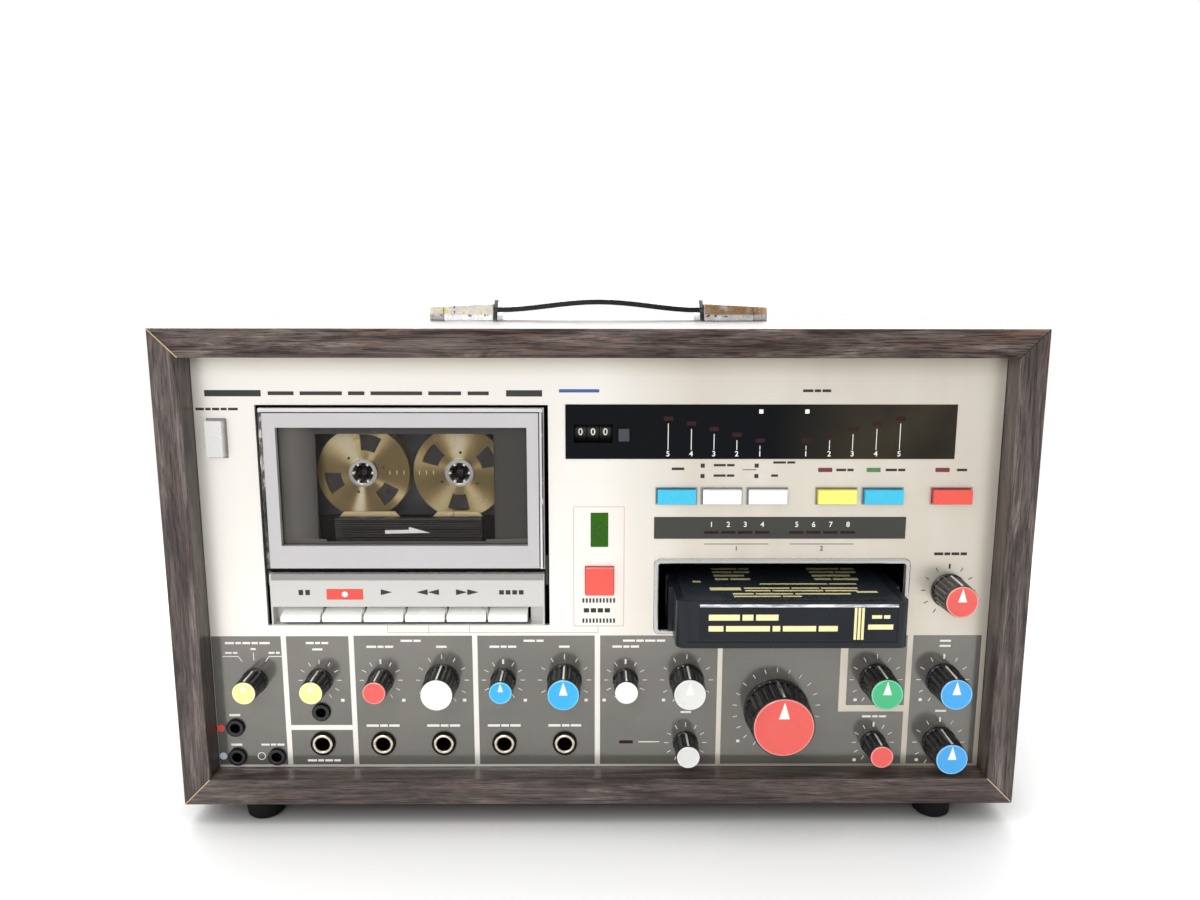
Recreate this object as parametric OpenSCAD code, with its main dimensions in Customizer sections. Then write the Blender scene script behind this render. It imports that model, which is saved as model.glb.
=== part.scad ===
// Stereo karaoke deck: cassette recorder and 8-track cartridge player in one wooden box.
// Units are millimetres. +X is right, +Y is into the set, +Z is up.
// The origin is the middle of the underside of the whole set, cartridge and knobs included.
// u is measured from the cabinet's left side, v from its underside, d from the panel's face inwards.

/* [Cabinet] */
// Width of the cabinet
cab_w = 372; // [371:1:376]
// Height of the cabinet without its feet
cab_h = 212; // [211:1:220]
// Depth of the cabinet
cab_d = 270; // [240:5:320]
// Thickness of the mitred boards
board_t = 12; // [11:0.5:12.5]
// How far the front panel lies behind the cabinet's front edge
panel_recess = 11; // [8:0.5:16]
// Height of the rubber feet
foot_h = 10; // [6:0.5:14]
// Thickness of the aluminium front panel
panel_t = 2; // [1.5:0.25:2]

/* [Carrying handle] */
// Length of the handle over its end caps
handle_l = 188; // [176:2:200]
// Width of the strap
strap_w = 24; // [18:1:28]
// Thickness of the strap
strap_t = 2.7; // [2.4:0.1:3]
// Height of the strap's underside above the cabinet at mid length
strap_rise = 8.6; // [6:0.2:12]

/* [Cassette deck] */
// Height of the cassette's lower edge above the cabinet's underside
tape_v = 113.2; // [112.6:0.1:113.4]
// Distance between the two reel centres of a compact cassette
hub_pitch = 42.5; // [42.4:0.1:42.6]
// Radius of the metal reels
reel_r = 20.4; // [18:0.2:20.6]
// Travel of a piano key's front edge, in degrees of its lever
key_dip = 5; // [3:0.5:5]
// How far the cassette door tips forward, in degrees
door_tilt = 38; // [20:1:38]

/* [Cartridge] */
// Width of an 8-track cartridge
cart_w = 101.6; // [101.4:0.1:101.8]
// Thickness of an 8-track cartridge
cart_h = 20.4; // [20:0.1:20.6]
// Length of an 8-track cartridge
cart_l = 133.4; // [133:0.1:134]
// How far the inserted cartridge stands out of the panel
cart_out = 24; // [18:1:40]

/* [Knobs] */
// Length of the small knobs from the panel
small_l = 14; // [10:0.5:17]
// Length of the medium knobs from the panel
medium_l = 16.2; // [12:0.2:18]
// Length of the large knob from the panel
large_l = 17.8; // [14:0.2:20]
// Radius of a small knob's body
small_r = 5.5; // [5:0.1:6]
// Radius of a medium knob's body
medium_r = 7.6; // [7:0.1:8.4]
// Radius of the large knob's body
large_r = 14.6; // [13:0.1:15.4]

/* [Hidden] */
$fn = 48;

lead = max(cart_out, large_l) - panel_recess;
front_y = -(cab_d - lead) / 2;
back_y = front_y + cab_d;
panel_y = front_y + panel_recess;
inner_w = cab_w - 2 * board_t;
fit = 0.2;

function px(u) = u - cab_w / 2;
function pz(v) = foot_h + v;
function py(d) = panel_y + d;

// openings of the front panel, as [u0, v0, u1, v1]
deck = [38.3, 80.3, 163.8, 179.2];
eject_hole = [17.3, 156.2, 26, 173.5];
slot = [212, 77.5, 321.5, 109];
main_window = [171.2, 155.7, 339.8, 179.5];
strip_window = [209.9, 120.1, 320.4, 129.9];
digit_window = [182.1, 116.4, 189.8, 131.8];
counter_hole = [174.9, 162.8, 191.6, 170.8];
reset_hole = [193.8, 163.4, 199, 169.4];
auto_hole = [179.5, 94.6, 192.5, 107.6];
button_v = [136, 142.8];
button_w = 17.2;
button_u = [219.4, 239.1, 259, 289.1, 309.4, 339.4];

// knob places: the upper row and the lower row
upper_v = 54.3;
lower_v = 23.9;
column_u = 60.05;
column_step = 27.55;
tone_u = 341.4;
echo_u = 311.2;
function column(i) = column_u + i * column_step;
shaft_r = 3;
pot_d = 12;
knob_gap = 0.4;
cap_t = 1.2;

// [u, v, knob body radius] of every rotary control
rotary = [[30.9, upper_v, small_r], [column(0), upper_v, small_r], [column(1), upper_v, small_r],
          [column(2), upper_v, medium_r], [column(3), upper_v, small_r],
          [column(4), upper_v, medium_r], [column(5), upper_v, small_r],
          [column(6), upper_v, medium_r], [column(6), lower_v, small_r], [266.4, 39.9, large_r],
          [echo_u, upper_v, medium_r], [echo_u, lower_v, small_r], [tone_u, upper_v, medium_r],
          [tone_u, lower_v, medium_r], [341, 96.4, medium_r]];

// [u, v, bore radius, nut radius, body half width, bore depth] of every jack
jack_small = [1.8, 4.1, 3.9, 13.5];
jack_mini = [1.3, 4, 3.9, 10.5];
jack_large = [3.2, 5.5, 7, 27];
jacks = [concat([20.8, 31.7], jack_small), concat([20.8, 17.5], jack_small),
         concat([38.8, 17.5], jack_mini), concat([column(0), 39.2], jack_small),
         concat([column(0), lower_v], jack_large), concat([column(1), lower_v], jack_large),
         concat([column(2), lower_v], jack_large), concat([column(3), lower_v], jack_large),
         concat([column(4), lower_v], jack_large)];
jack_lead = 2.6;
mouth_r = 3.05;

// cassette deck
door = [40, 106.5, 162, 178];
door_glass = [47.3, 117.5, 154.7, 169.7];
door_front = -2.5;
door_back = 1.5;
pivot_d = 4.2;
pivot_v = 100;
pin_r = 1.5;
tape_w = 100.4;
tape_h = 63.8;
tape_u = 103;
tape_front = 6.2;
tape_back = 18.2;
hub_v = tape_v + 35;
hub_hole_r = 6.8;
hub_r = 6.4;
hub_bore_r = 5;
tooth_r = 4;
well_back = 22;
housing = [40.5, 80.5, 161.6, 104.8];
key_n = 6;
key_w = 17.3;
key_step = 18.35;
key_u = 45;
key_pivot_d = 18.6;
key_pivot_v = 86;

// cartridge slot
cart_u = 267.2;
cart_v = 79;
guide_l = cart_l - cart_out + 6;
guide_t = 2;
guide_w = cart_w + 1;
guide_top = cart_v + cart_h + 0.8;

// counter
wheel_r = 6.5;
wheel_w = 5;
wheel_u = 177.7;
wheel_step = 5.4;
wheel_d = 9.8;
wheel_v = 166.7;

// extrudes an (x, z) outline from y0 to y1
module along_y(y0, y1) {
    translate([0, y1, 0]) rotate([90, 0, 0]) linear_extrude(y1 - y0) children();
}

// extrudes a (y, z) outline from x0 to x1
module along_x(x0, x1) {
    translate([x0, 0, 0]) rotate([90, 0, 90]) linear_extrude(x1 - x0) children();
}

// box between two u, v corners and two depths
module block(b, d0, d1) {
    translate([px(b[0]), py(d0), pz(b[1])]) cube([b[2] - b[0], d1 - d0, b[3] - b[1]]);
}

// round bar along y at (u, v)
module bar_y(u, v, d0, d1, r) {
    translate([px(u), py(d1), pz(v)]) rotate([90, 0, 0]) cylinder(h = d1 - d0, r = r);
}

// round bar along x at (d, v)
module bar_x(u0, u1, d, v, r) {
    translate([px(u0), py(d), pz(v)]) rotate([0, 90, 0]) cylinder(h = u1 - u0, r = r);
}

// (x, z) rectangle with round corners
module round_rect(b, r) {
    translate([px(b[0]) + r, pz(b[1])]) square([b[2] - b[0] - 2 * r, b[3] - b[1]]);
    translate([px(b[0]), pz(b[1]) + r]) square([b[2] - b[0], b[3] - b[1] - 2 * r]);
    for (x = [px(b[0]) + r, px(b[2]) - r], z = [pz(b[1]) + r, pz(b[3]) - r])
        translate([x, z]) circle(r = r);
}

module round_block(b, r, d0, d1) {
    along_y(py(d0), py(d1)) round_rect(b, r);
}

function grown(b, g) = [b[0] - g, b[1] - g, b[2] + g, b[3] + g];

// ---- cabinet ----

module cabinet_top() {
    color([0.36, 0.33, 0.32]) along_y(front_y, back_y)
        polygon([[-cab_w / 2, pz(cab_h)], [cab_w / 2, pz(cab_h)],
                 [inner_w / 2, pz(cab_h - board_t)], [-inner_w / 2, pz(cab_h - board_t)]]);
}

module cabinet_bottom() {
    color([0.36, 0.33, 0.32]) along_y(front_y, back_y)
        polygon([[-cab_w / 2, pz(0)], [-inner_w / 2, pz(board_t)],
                 [inner_w / 2, pz(board_t)], [cab_w / 2, pz(0)]]);
}

module cabinet_sides() {
    color([0.36, 0.33, 0.32]) for (s = [-1, 1]) along_y(front_y, back_y)
        polygon([[s * cab_w / 2, pz(0)], [s * inner_w / 2, pz(board_t)],
                 [s * inner_w / 2, pz(cab_h - board_t)], [s * cab_w / 2, pz(cab_h)]]);
}

foot_top_r = 9;
foot_low_r = 8.1;
foot_edge = 1.2;
foot_in_x = 32;
foot_in_y = 12;

module foot() {
    difference() {
        rotate_extrude() polygon([[0, 0], [foot_low_r - foot_edge, 0], [foot_low_r, foot_edge],
                                  [foot_top_r, foot_h], [0, foot_h]]);
        translate([0, 0, -1]) cylinder(h = 5, r = 3.2);
    }
}

module feet() {
    color([0.08, 0.08, 0.09]) for (s = [-1, 1], y = [front_y + foot_in_y, back_y - foot_in_y])
        translate([s * (cab_w / 2 - foot_in_x), y, 0]) foot();
}

cover_t = 3;
cover_in = 6;
vent_n = 15;
vent_step = 8;
inlet_x = 130;
inlet_z = 34;

// hardboard back, set in from the cabinet's rear edge, with two rows of cooling slots
module back_cover() {
    color([0.16, 0.14, 0.13]) difference() {
        translate([-inner_w / 2, back_y - cover_in - cover_t, pz(board_t)])
            cube([inner_w, cover_t, cab_h - 2 * board_t]);
        for (i = [0 : vent_n - 1], z = [70, 130])
            translate([-57 + i * vent_step, back_y - cover_in - cover_t - 1, pz(z)])
                cube([3.5, cover_t + 2, 36]);
        translate([inlet_x - 12, back_y - cover_in - cover_t - 1, pz(inlet_z) - 7])
            cube([24, cover_t + 2, 14]);
    }
}

pin_gap = 4.3;

// two-pin mains inlet, flanged outside the back cover
module mains_inlet() {
    face = back_y - cover_in + 2;
    color([0.1, 0.1, 0.1]) difference() {
        union() {
            translate([inlet_x - 15, face - 2, pz(inlet_z) - 10]) cube([30, 2, 20]);
            translate([inlet_x - 12, face - 24, pz(inlet_z) - 7]) cube([24, 22, 14]);
        }
        for (s = [-1, 1]) translate([inlet_x + s * pin_gap, face + 1, pz(inlet_z)])
            rotate([90, 0, 0]) cylinder(h = 16, r = 3.7);
        translate([inlet_x - pin_gap, face - 15, pz(inlet_z) - 3.7]) cube([2 * pin_gap, 16, 7.4]);
    }
    color([0.75, 0.7, 0.5]) for (s = [-1, 1]) translate([inlet_x + s * pin_gap, face - 3, pz(inlet_z)])
        rotate([90, 0, 0]) cylinder(h = 12, r = 1.2);
}

tray_t = 1;
tray_side_h = 70;

// steel tray that lies on the bottom board and holds the panel by its two sides
module chassis_tray() {
    tray_l = cab_d - panel_recess - panel_t - cover_in - cover_t - 0.5;
    color([0.62, 0.63, 0.65]) {
        translate([-inner_w / 2 + fit, py(panel_t), pz(board_t)])
            cube([inner_w - 2 * fit, tray_l, tray_t]);
        for (x = [-inner_w / 2 + fit, inner_w / 2 - fit - tray_t])
            translate([x, py(panel_t), pz(board_t)]) cube([tray_t, tray_l, tray_side_h]);
    }
}

// ---- carrying handle ----

cap_l = 37;
cap_h = 9;
cap_end_h = 7.2;
cap_round = 1.5;
cap_w = 28;
collar_t = 2.2;
collar_h = 11.4;
strap_low = 4.3;
strap_in = 17;
handle_z = pz(cab_h);
handle_y = (front_y + back_y) / 2;
strap_half = handle_l / 2 - cap_l;

// pressed metal cover that tapers to its rounded outer end, hollow for the strap's sliding end
module handle_end_caps() {
    color([0.82, 0.8, 0.72]) for (s = [-1, 1]) translate([0, handle_y, handle_z])
        mirror([s < 0 ? 1 : 0, 0, 0]) difference() {
            intersection() {
                translate([0, cap_w / 2, 0]) rotate([90, 0, 0]) linear_extrude(cap_w) union() {
                    polygon([[strap_half, 0], [strap_half, cap_h], [handle_l / 2 - cap_round, cap_end_h],
                             [handle_l / 2 - cap_round, 0]]);
                    translate([handle_l / 2 - cap_round, 0]) square([cap_round, cap_end_h - cap_round]);
                    translate([handle_l / 2 - cap_round, cap_end_h - cap_round]) circle(r = cap_round);
                }
                union() {
                    translate([strap_half - 1, -cap_w / 2, 0]) cube([cap_l + 1 - 10, cap_w, cap_h]);
                    translate([handle_l / 2 - cap_w / 2, 0, 0]) cylinder(h = cap_h, r = cap_w / 2);
                }
            }
            translate([strap_half - 1, -strap_w / 2 - 0.4, -1])
                cube([strap_in + 3, strap_w + 0.8, strap_t + strap_low + 1.3]);
        }
}

function arch(x) = strap_low + (strap_rise - strap_low) * pow(cos(90 * x / (strap_half - 2)), 2);
arch_x = [for (i = [-8 : 8]) i * (strap_half - 2) / 8];

// bowed strap whose straight ends lie in the caps, with a moulded collar at each cap
module handle_strap() {
    end_x = strap_half + strap_in;
    color([0.06, 0.06, 0.07]) translate([0, handle_y, handle_z]) {
        translate([0, strap_w / 2, 0]) rotate([90, 0, 0]) linear_extrude(strap_w)
            polygon(concat([[-end_x, strap_low]], [for (x = arch_x) [x, arch(x)]],
                           [[end_x, strap_low], [end_x, strap_low + strap_t]],
                           [for (i = [len(arch_x) - 1 : -1 : 0]) [arch_x[i], arch(arch_x[i]) + strap_t]],
                           [[-end_x, strap_low + strap_t]]));
        for (s = [-1, 1]) translate([s * (strap_half - collar_t / 2), 0, 0])
            translate([-collar_t / 2, 0, 0]) intersection() {
                translate([0, -16, 0]) cube([collar_t, 32, collar_h]);
                translate([-1, 0, -5]) rotate([0, 90, 0]) cylinder(h = collar_t + 2, r = 16.6);
            }
    }
}

// ---- front panel ----

module front_panel() {
    color([0.85, 0.84, 0.81]) difference() {
        translate([-inner_w / 2 + fit, py(0), pz(board_t) + fit])
            cube([inner_w - 2 * fit, panel_t, cab_h - 2 * board_t - 2 * fit]);
        for (b = [deck, eject_hole, slot, main_window, strip_window, digit_window, auto_hole])
            block(b, -1, panel_t + 1);
        for (u = button_u)
            block([u - button_w / 2, button_v[0], u + button_w / 2, button_v[1]], -1, panel_t + 1);
        for (k = rotary) bar_y(k[0], k[1], -1, panel_t + 1, shaft_r + 0.4);
        for (j = jacks) bar_y(j[0], j[1], -1, panel_t + 1, j[3] - 0.6);
    }
}

window_lip = 1.5;
window_proud = 0.4;

// one dark plate, flush in its opening, with a lip behind the panel
module window_plate(b) {
    block(grown(b, -0.1), -window_proud, panel_t);
    block(grown(b, window_lip), panel_t, panel_t + 1.5);
}

module display_windows() {
    color([0.05, 0.05, 0.06]) {
        difference() {
            window_plate(main_window);
            block(counter_hole, -1, panel_t + 2);
            block(reset_hole, -1, panel_t + 2);
        }
        window_plate(strip_window);
        window_plate(digit_window);
    }
}

// ---- tape counter ----

module counter_frame() {
    u0 = wheel_u - wheel_w / 2 - 1.4;
    u1 = wheel_u + 2 * wheel_step + wheel_w / 2 + 0.4;
    color([0.2, 0.2, 0.21]) {
        for (u = [u0, u1])
            block([u, wheel_v - 7.5, u + 1, wheel_v + 7.5], panel_t + 1.5, wheel_d + 8);
        block([u0, wheel_v - 7.5, u1 + 1, wheel_v + 7.5], wheel_d + 8, wheel_d + 9);
        bar_x(u0 + 0.5, u1 + 0.5, wheel_d, wheel_v, 1);
    }
}

module counter_wheel(i) {
    u = wheel_u + i * wheel_step - wheel_w / 2;
    color([0.1, 0.1, 0.1]) difference() {
        union() {
            bar_x(u, u + wheel_w, wheel_d, wheel_v, wheel_r);
            bar_x(u + wheel_w, u + wheel_w + 0.2, wheel_d, wheel_v, 2.5);
        }
        bar_x(u - 1, u + wheel_w + 1, wheel_d, wheel_v, 1.05);
    }
}

module counter_hundreds_wheel() {
    counter_wheel(0);
}

module counter_tens_wheel() {
    counter_wheel(1);
}

module counter_units_wheel() {
    counter_wheel(2);
}

// ---- push buttons ----

// cap in a panel hole, with a stop flange behind the panel and a stem
module push_button(b, out, back, gap = 0.3) {
    block(grown(b, -gap), -out, back);
    block(grown(b, 0.8), back, back + 1);
    mid_u = (b[0] + b[2]) / 2;
    mid_v = (b[1] + b[3]) / 2;
    bar_y(mid_u, mid_v, back + 1, back + 5, 1.6);
}

module row_button(i) {
    u = button_u[i];
    push_button([u - button_w / 2, button_v[0], u + button_w / 2, button_v[1]], 3.2, panel_t + 0.2);
}

module song_select_button() {
    color([0.25, 0.55, 0.85]) row_button(0);
}

module tape_type_button() {
    color([0.92, 0.92, 0.9]) row_button(1);
}

module side_button() {
    color([0.92, 0.92, 0.9]) row_button(2);
}

module cue_button() {
    color([0.9, 0.8, 0.2]) row_button(3);
}

module start_button() {
    color([0.25, 0.55, 0.85]) row_button(4);
}

module power_button() {
    color([0.85, 0.25, 0.22]) row_button(5);
}

module auto_select_button() {
    color([0.9, 0.3, 0.27]) push_button(auto_hole, 2.6, panel_t + 0.2);
}

module eject_button() {
    color([0.85, 0.85, 0.87]) push_button(eject_hole, 4, panel_t + 0.2, 0.85);
}

module counter_reset_button() {
    color([0.6, 0.6, 0.6]) push_button(reset_hole, 1.8, panel_t + 1.7);
}

// ---- cassette deck ----

// open-fronted black box behind the deck opening, with the door pins and the spindle bearings
module deck_well() {
    inner = [38.2, 80.2, 163.9, 179.4];
    color([0.08, 0.08, 0.08]) {
        difference() {
            union() {
                block([35, 77, 167, 182.6], panel_t, panel_t + 2);
                block(grown(inner, 2), panel_t, well_back + 2);
            }
            block(inner, panel_t - 1, well_back);
            for (s = [-1, 1]) bar_y(tape_u + s * hub_pitch / 2, hub_v, well_back - 1, well_back + 3, 2.55);
        }
        bar_x(inner[0] - 0.5, inner[0] + 2.1, pivot_d, pivot_v, pin_r);
        bar_x(inner[2] - 2.1, inner[2] + 0.5, pivot_d, pivot_v, pin_r);
    }
}

bevel = 2;

// bevelled door frame with a rebate for the window
module cassette_door() {
    color([0.8, 0.79, 0.8]) difference() {
        union() {
            block([door[0], door[1], door[2], door[3]], door_front + bevel, door_back);
            block([door[0] + 1, door[1], door[2] - 1, door[3] - bevel], door_front, door_back);
            intersection() {
                block([door[0] + 1, door[3] - bevel - 1, door[2] - 1, door[3]], door_front, door_back);
                bar_x(door[0], door[2], door_front + bevel, door[3] - bevel, bevel);
            }
        }
        block(door_glass, door_front - 1, door_back + 1);
        block(grown(door_glass, 1), door_back - 1.5, door_back + 1);
    }
}

module door_window() {
    color([0.12, 0.11, 0.1, 0.5]) block(grown(door_glass, 0.9), door_back - 1.5, door_back);
}

lip_top = 128.4;
rib_low = 120;
rib_n = 9;
lip_t = 1.9;

// carrier on the back of the door: face plate, side rails, shelf, ribbed lip and two pivot tabs
module cassette_holder() {
    plate_d = door_back + 2;
    shelf_v = tape_v - 2;
    rail_in = tape_u - tape_w / 2 - 0.3;
    rail_out = tape_u + tape_w / 2 + 0.3;
    rib_step = (lip_top - rib_low) / rib_n;
    color([0.17, 0.16, 0.15]) {
        difference() {
            block([40.6, 107.5, 161.5, 176.8], door_back, plate_d);
            block([62.6, tape_v, 140, 167.2], door_back - 1, plate_d + 1);
        }
        for (u = [rail_in - 2, rail_out]) block([u, shelf_v, u + 2, 172], plate_d, tape_back + 0.4);
        block([rail_in - 2, shelf_v, rail_out + 2, tape_v], plate_d, tape_back + 0.4);
        along_x(px(69.2), px(133.8)) polygon(concat(
            [[py(plate_d + lip_t), pz(tape_v)], [py(plate_d + 0.7), pz(tape_v)]],
            [for (i = [0 : rib_n - 1], k = [0 : 3])
                [py(plate_d + (k == 1 || k == 2 ? 0 : 0.7)),
                 pz(rib_low + (i + [0.2, 0.3, 0.8, 0.9][k]) * rib_step)]],
            [[py(plate_d + 0.7), pz(lip_top)], [py(plate_d + lip_t), pz(lip_top)]]));
        for (u = [38.9, 161.9]) difference() {
            union() {
                block([u, pivot_v, u + 1.3, 112], door_back, plate_d);
                bar_x(u, u + 1.3, pivot_d, pivot_v, 2.6);
            }
            bar_x(u - 1, u + 3, pivot_d, pivot_v, pin_r + 0.05);
        }
        for (u = [38.9, 161.5]) block([u, 107.5, u + 1.7, 112], door_back, plate_d);
    }
}

// clear shell with a room for the reels, hub holes and the openings of the tape path
module cassette_shell() {
    u0 = tape_u - tape_w / 2;
    u1 = tape_u + tape_w / 2;
    color([0.3, 0.28, 0.25, 0.5]) difference() {
        union() {
            round_block([u0, tape_v, u1, tape_v + tape_h], 2, tape_front, tape_back);
            along_y(py(tape_front - 0.6), py(tape_front)) polygon([
                [px(tape_u - 34), pz(tape_v)], [px(tape_u + 34), pz(tape_v)],
                [px(tape_u + 31.5), pz(tape_v + 12)], [px(tape_u - 31.5), pz(tape_v + 12)]]);
        }
        block([u0 + 1.6, tape_v + 13, u1 - 1.6, tape_v + tape_h - 1.6], tape_front + 1.2, tape_back - 1.2);
        for (s = [-1, 1]) bar_y(tape_u + s * hub_pitch / 2, hub_v, tape_front - 2, tape_back + 1, hub_hole_r);
        for (s = [-1, 1]) bar_y(tape_u + s * 22, tape_v + 5, tape_front - 2, tape_back + 1, 2.6);
        for (c = [[-26, 8], [0, 16], [26, 8]])
            block([tape_u + c[0] - c[1] / 2, tape_v - 1, tape_u + c[0] + c[1] / 2, tape_v + 2.5],
                  tape_front + 3, tape_back - 3);
    }
}

// where the first of a reel's three windows stands, on the supply and on the takeup side
window_turn = [77, 27];

// toothed hub with its tape pack between two flanges, each flange with three windows
module reel(side) {
    front = tape_front + 1.5;
    back = tape_back - 1.5;
    color([0.75, 0.62, 0.4]) translate([px(tape_u + side * hub_pitch / 2), py(0), pz(hub_v)]) {
        difference() {
            union() {
                translate([0, back, 0]) rotate([90, 0, 0]) cylinder(h = back - front + 1, r = hub_r);
                translate([0, back, 0]) rotate([90, 0, 0]) cylinder(h = 1, r = reel_r);
                translate([0, back - 1, 0]) rotate([90, 0, 0]) cylinder(h = back - front - 2, r = 14.5);
                difference() {
                    translate([0, front + 1, 0]) rotate([90, 0, 0]) cylinder(h = 1, r = reel_r);
                    for (k = [0 : 2]) rotate([0, -window_turn[side < 0 ? 0 : 1] - 120 * k, 0])
                        flange_window(front);
                }
            }
            translate([0, back + 1, 0]) rotate([90, 0, 0]) cylinder(h = 16, r = hub_bore_r);
        }
        for (a = [0 : 60 : 300]) rotate([0, a, 0])
            translate([tooth_r, front + 1.5, -0.6]) cube([hub_bore_r - tooth_r + 0.4, 6, 1.2]);
    }
}

// wedge-shaped hole of a flange, between two radii and two arms
module flange_window(front) {
    translate([0, front + 2, 0]) rotate([90, 0, 0]) linear_extrude(3) difference() {
        intersection() {
            circle(r = 17.2);
            polygon([[0, 0], [30, -9], [30, 9]]);
        }
        circle(r = 10);
    }
}

module supply_reel() {
    reel(-1);
}

module takeup_reel() {
    reel(1);
}

// spindle with three splines that taper to its tip, and a pulley behind the well
module spindle(side) {
    color([0.12, 0.12, 0.12]) translate([px(tape_u + side * hub_pitch / 2), py(0), pz(hub_v)]) {
        translate([0, well_back + 6, 0]) rotate([90, 0, 0]) cylinder(h = 6.5, r = 2.5);
        translate([0, well_back + 5.5, 0]) rotate([90, 0, 0]) cylinder(h = 3, r = 11);
        translate([0, well_back - 0.3, 0]) rotate([90, 0, 0]) cylinder(h = 1.4, r = 3.4);
        translate([0, well_back - 0.5, 0]) rotate([90, 0, 0]) cylinder(h = well_back - 11.5, r = 2.4);
        translate([0, 11, 0]) rotate([90, 0, 0]) cylinder(h = 2, r1 = 2.4, r2 = 1.3);
        for (a = [30, 150, 270]) rotate([0, a, 0]) translate([0, 0, -0.5]) linear_extrude(1)
            polygon([[0, 11.5], [3.2, 11.5], [4.5, 14.3], [4.5, 15.5], [0, 15.5]]);
    }
}

module supply_spindle() {
    spindle(-1);
}

module takeup_spindle() {
    spindle(1);
}

key_well = [41.2, 81, 160.9, 89.3];

// silver key housing: rounded top bar, face, key recess and the rod that the keys turn on
module key_housing() {
    key_end = key_u + key_n * key_step;
    color([0.84, 0.84, 0.84]) {
        difference() {
            union() {
                block([housing[0], housing[1], housing[2], 101.4], -1, 8);
                block([housing[0], 99, housing[2], housing[3] - 1.8], -1.2, 6);
                intersection() {
                    block([housing[0], housing[3] - 1.8, housing[2], housing[3]], -1.2, 3);
                    bar_x(housing[0], housing[2], 0.6, housing[3] - 1.8, 1.8);
                }
            }
            block([42.5, 91, 159.6, 103], 1, 9);
            block(key_well, -2, 4.6);
            block([key_u - 0.4, key_well[1], key_end, 87.2], -2, 9);
        }
        for (u = [housing[0], housing[2] - 2]) block([u, housing[1], u + 2, 91], 8, well_back);
        bar_x(housing[0] + 1, housing[2] - 1, key_pivot_d, key_pivot_v, pin_r);
    }
}

// piano key: sloping cap in the recess, lever arm, and a sleeve on the rod
module piano_key(i) {
    u = key_u + i * key_step;
    color([0.93, 0.93, 0.92]) {
        along_x(px(u), px(u + key_w)) polygon([
            [py(4.2), pz(87.6)], [py(-2.5), pz(85.7)], [py(-3), pz(85.2)], [py(-3), pz(83)],
            [py(4.2), pz(83.2)]]);
        difference() {
            union() {
                block([u + 3, 83.4, u + key_w - 3, 86.4], 4, key_pivot_d);
                bar_x(u + 3, u + key_w - 3, key_pivot_d, key_pivot_v, 2.9);
            }
            bar_x(u, u + key_w, key_pivot_d, key_pivot_v, pin_r + 0.05);
        }
    }
}

module stop_key() {
    piano_key(0);
}

module record_key() {
    piano_key(1);
}

module play_key() {
    piano_key(2);
}

module rewind_key() {
    piano_key(3);
}

module fast_forward_key() {
    piano_key(4);
}

module pause_key() {
    piano_key(5);
}

// ---- cartridge player ----

module slot_bezel() {
    color([0.78, 0.78, 0.77]) difference() {
        round_block([210, 76.4, 323.4, 111], 2.4, -1.2, 0);
        round_block([212.2, 78.2, 321.3, 108.9], 1.2, -2, 1);
    }
}

// tunnel that takes the cartridge, with a flange behind the panel and legs on the tray
module cartridge_guide() {
    inner = [cart_u - guide_w / 2, cart_v, cart_u + guide_w / 2, guide_top];
    color([0.07, 0.07, 0.07]) {
        difference() {
            union() {
                block([208, 74, 326, 112], panel_t, panel_t + 2);
                block(grown(inner, guide_t), panel_t, guide_l);
            }
            block(inner, 0, guide_l - 2);
        }
        for (u = [cart_u - 40, cart_u + 36])
            block([u, board_t + tray_t, u + 4, cart_v - guide_t], guide_l - 30, guide_l);
    }
}

grip_l = 20;
grip_in = 1.8;

// cartridge: narrower grip end with round corners, side catch notch and the open inner end
module cartridge() {
    x = px(cart_u);
    y = py(-cart_out);
    z = pz(cart_v);
    half = cart_w / 2;
    color([0.09, 0.1, 0.12]) difference() {
        union() {
            translate([x, y, z]) linear_extrude(cart_h) union() {
                translate([-half + grip_in + 4, 0]) square([cart_w - 2 * grip_in - 8, 6]);
                translate([-half + grip_in, 4]) square([cart_w - 2 * grip_in, grip_l]);
                for (s = [-1, 1]) translate([s * (half - grip_in - 4), 4]) circle(r = 4);
                translate([-half, grip_l]) square([cart_w, cart_l - grip_l]);
            }
        }
        translate([x - 44, y - 1, z + 2.6]) cube([88, 1.4, cart_h - 5]);
        translate([x - 46, y + 2.5, z + cart_h - 0.3]) cube([92, 80, 1]);
        translate([x - half, y + 34, z - 1]) cylinder(h = cart_h + 2, r = 3.5);
        for (s = [-1, 1], k = [6.5 : 2.6 : 15])
            translate([x + s * (half - grip_in) - 0.5, y + k, z + 2]) cube([1, 1.1, cart_h - 4]);
        for (c = [[-34, 18], [-6, 22], [32, 24]])
            translate([x + c[0] - c[1] / 2, y + cart_l - 9, z + 3]) cube([c[1], 10, cart_h - 6]);
    }
}

// ---- controls and jacks ----

// one potentiometer behind the panel for every rotary control
module potentiometers() {
    color([0.7, 0.7, 0.68]) for (k = rotary) difference() {
        bar_y(k[0], k[1], panel_t, pot_d, k[2] > large_r - 1 ? 9 : 6.8);
        bar_y(k[0], k[1], panel_t - 1, pot_d - 2, shaft_r + 0.05);
    }
}

// threaded bushing with its ring nut in front and its contact block behind
module jack_sockets() {
    color([0.3, 0.3, 0.3]) for (j = jacks) difference() {
        union() {
            bar_y(j[0], j[1], -1.2, 0, j[3]);
            bar_y(j[0], j[1], -1.2, panel_t + 1, j[3] - 0.7);
            block([j[0] - j[4], j[1] - j[4], j[0] + j[4], j[1] + j[4]], panel_t, jack_lead + j[5] + 1.5);
        }
        bar_y(j[0], j[1], -2, jack_lead, max(mouth_r, j[2] + 0.25));
        bar_y(j[0], j[1], jack_lead - 1, jack_lead + j[5], j[2]);
    }
}

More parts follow.
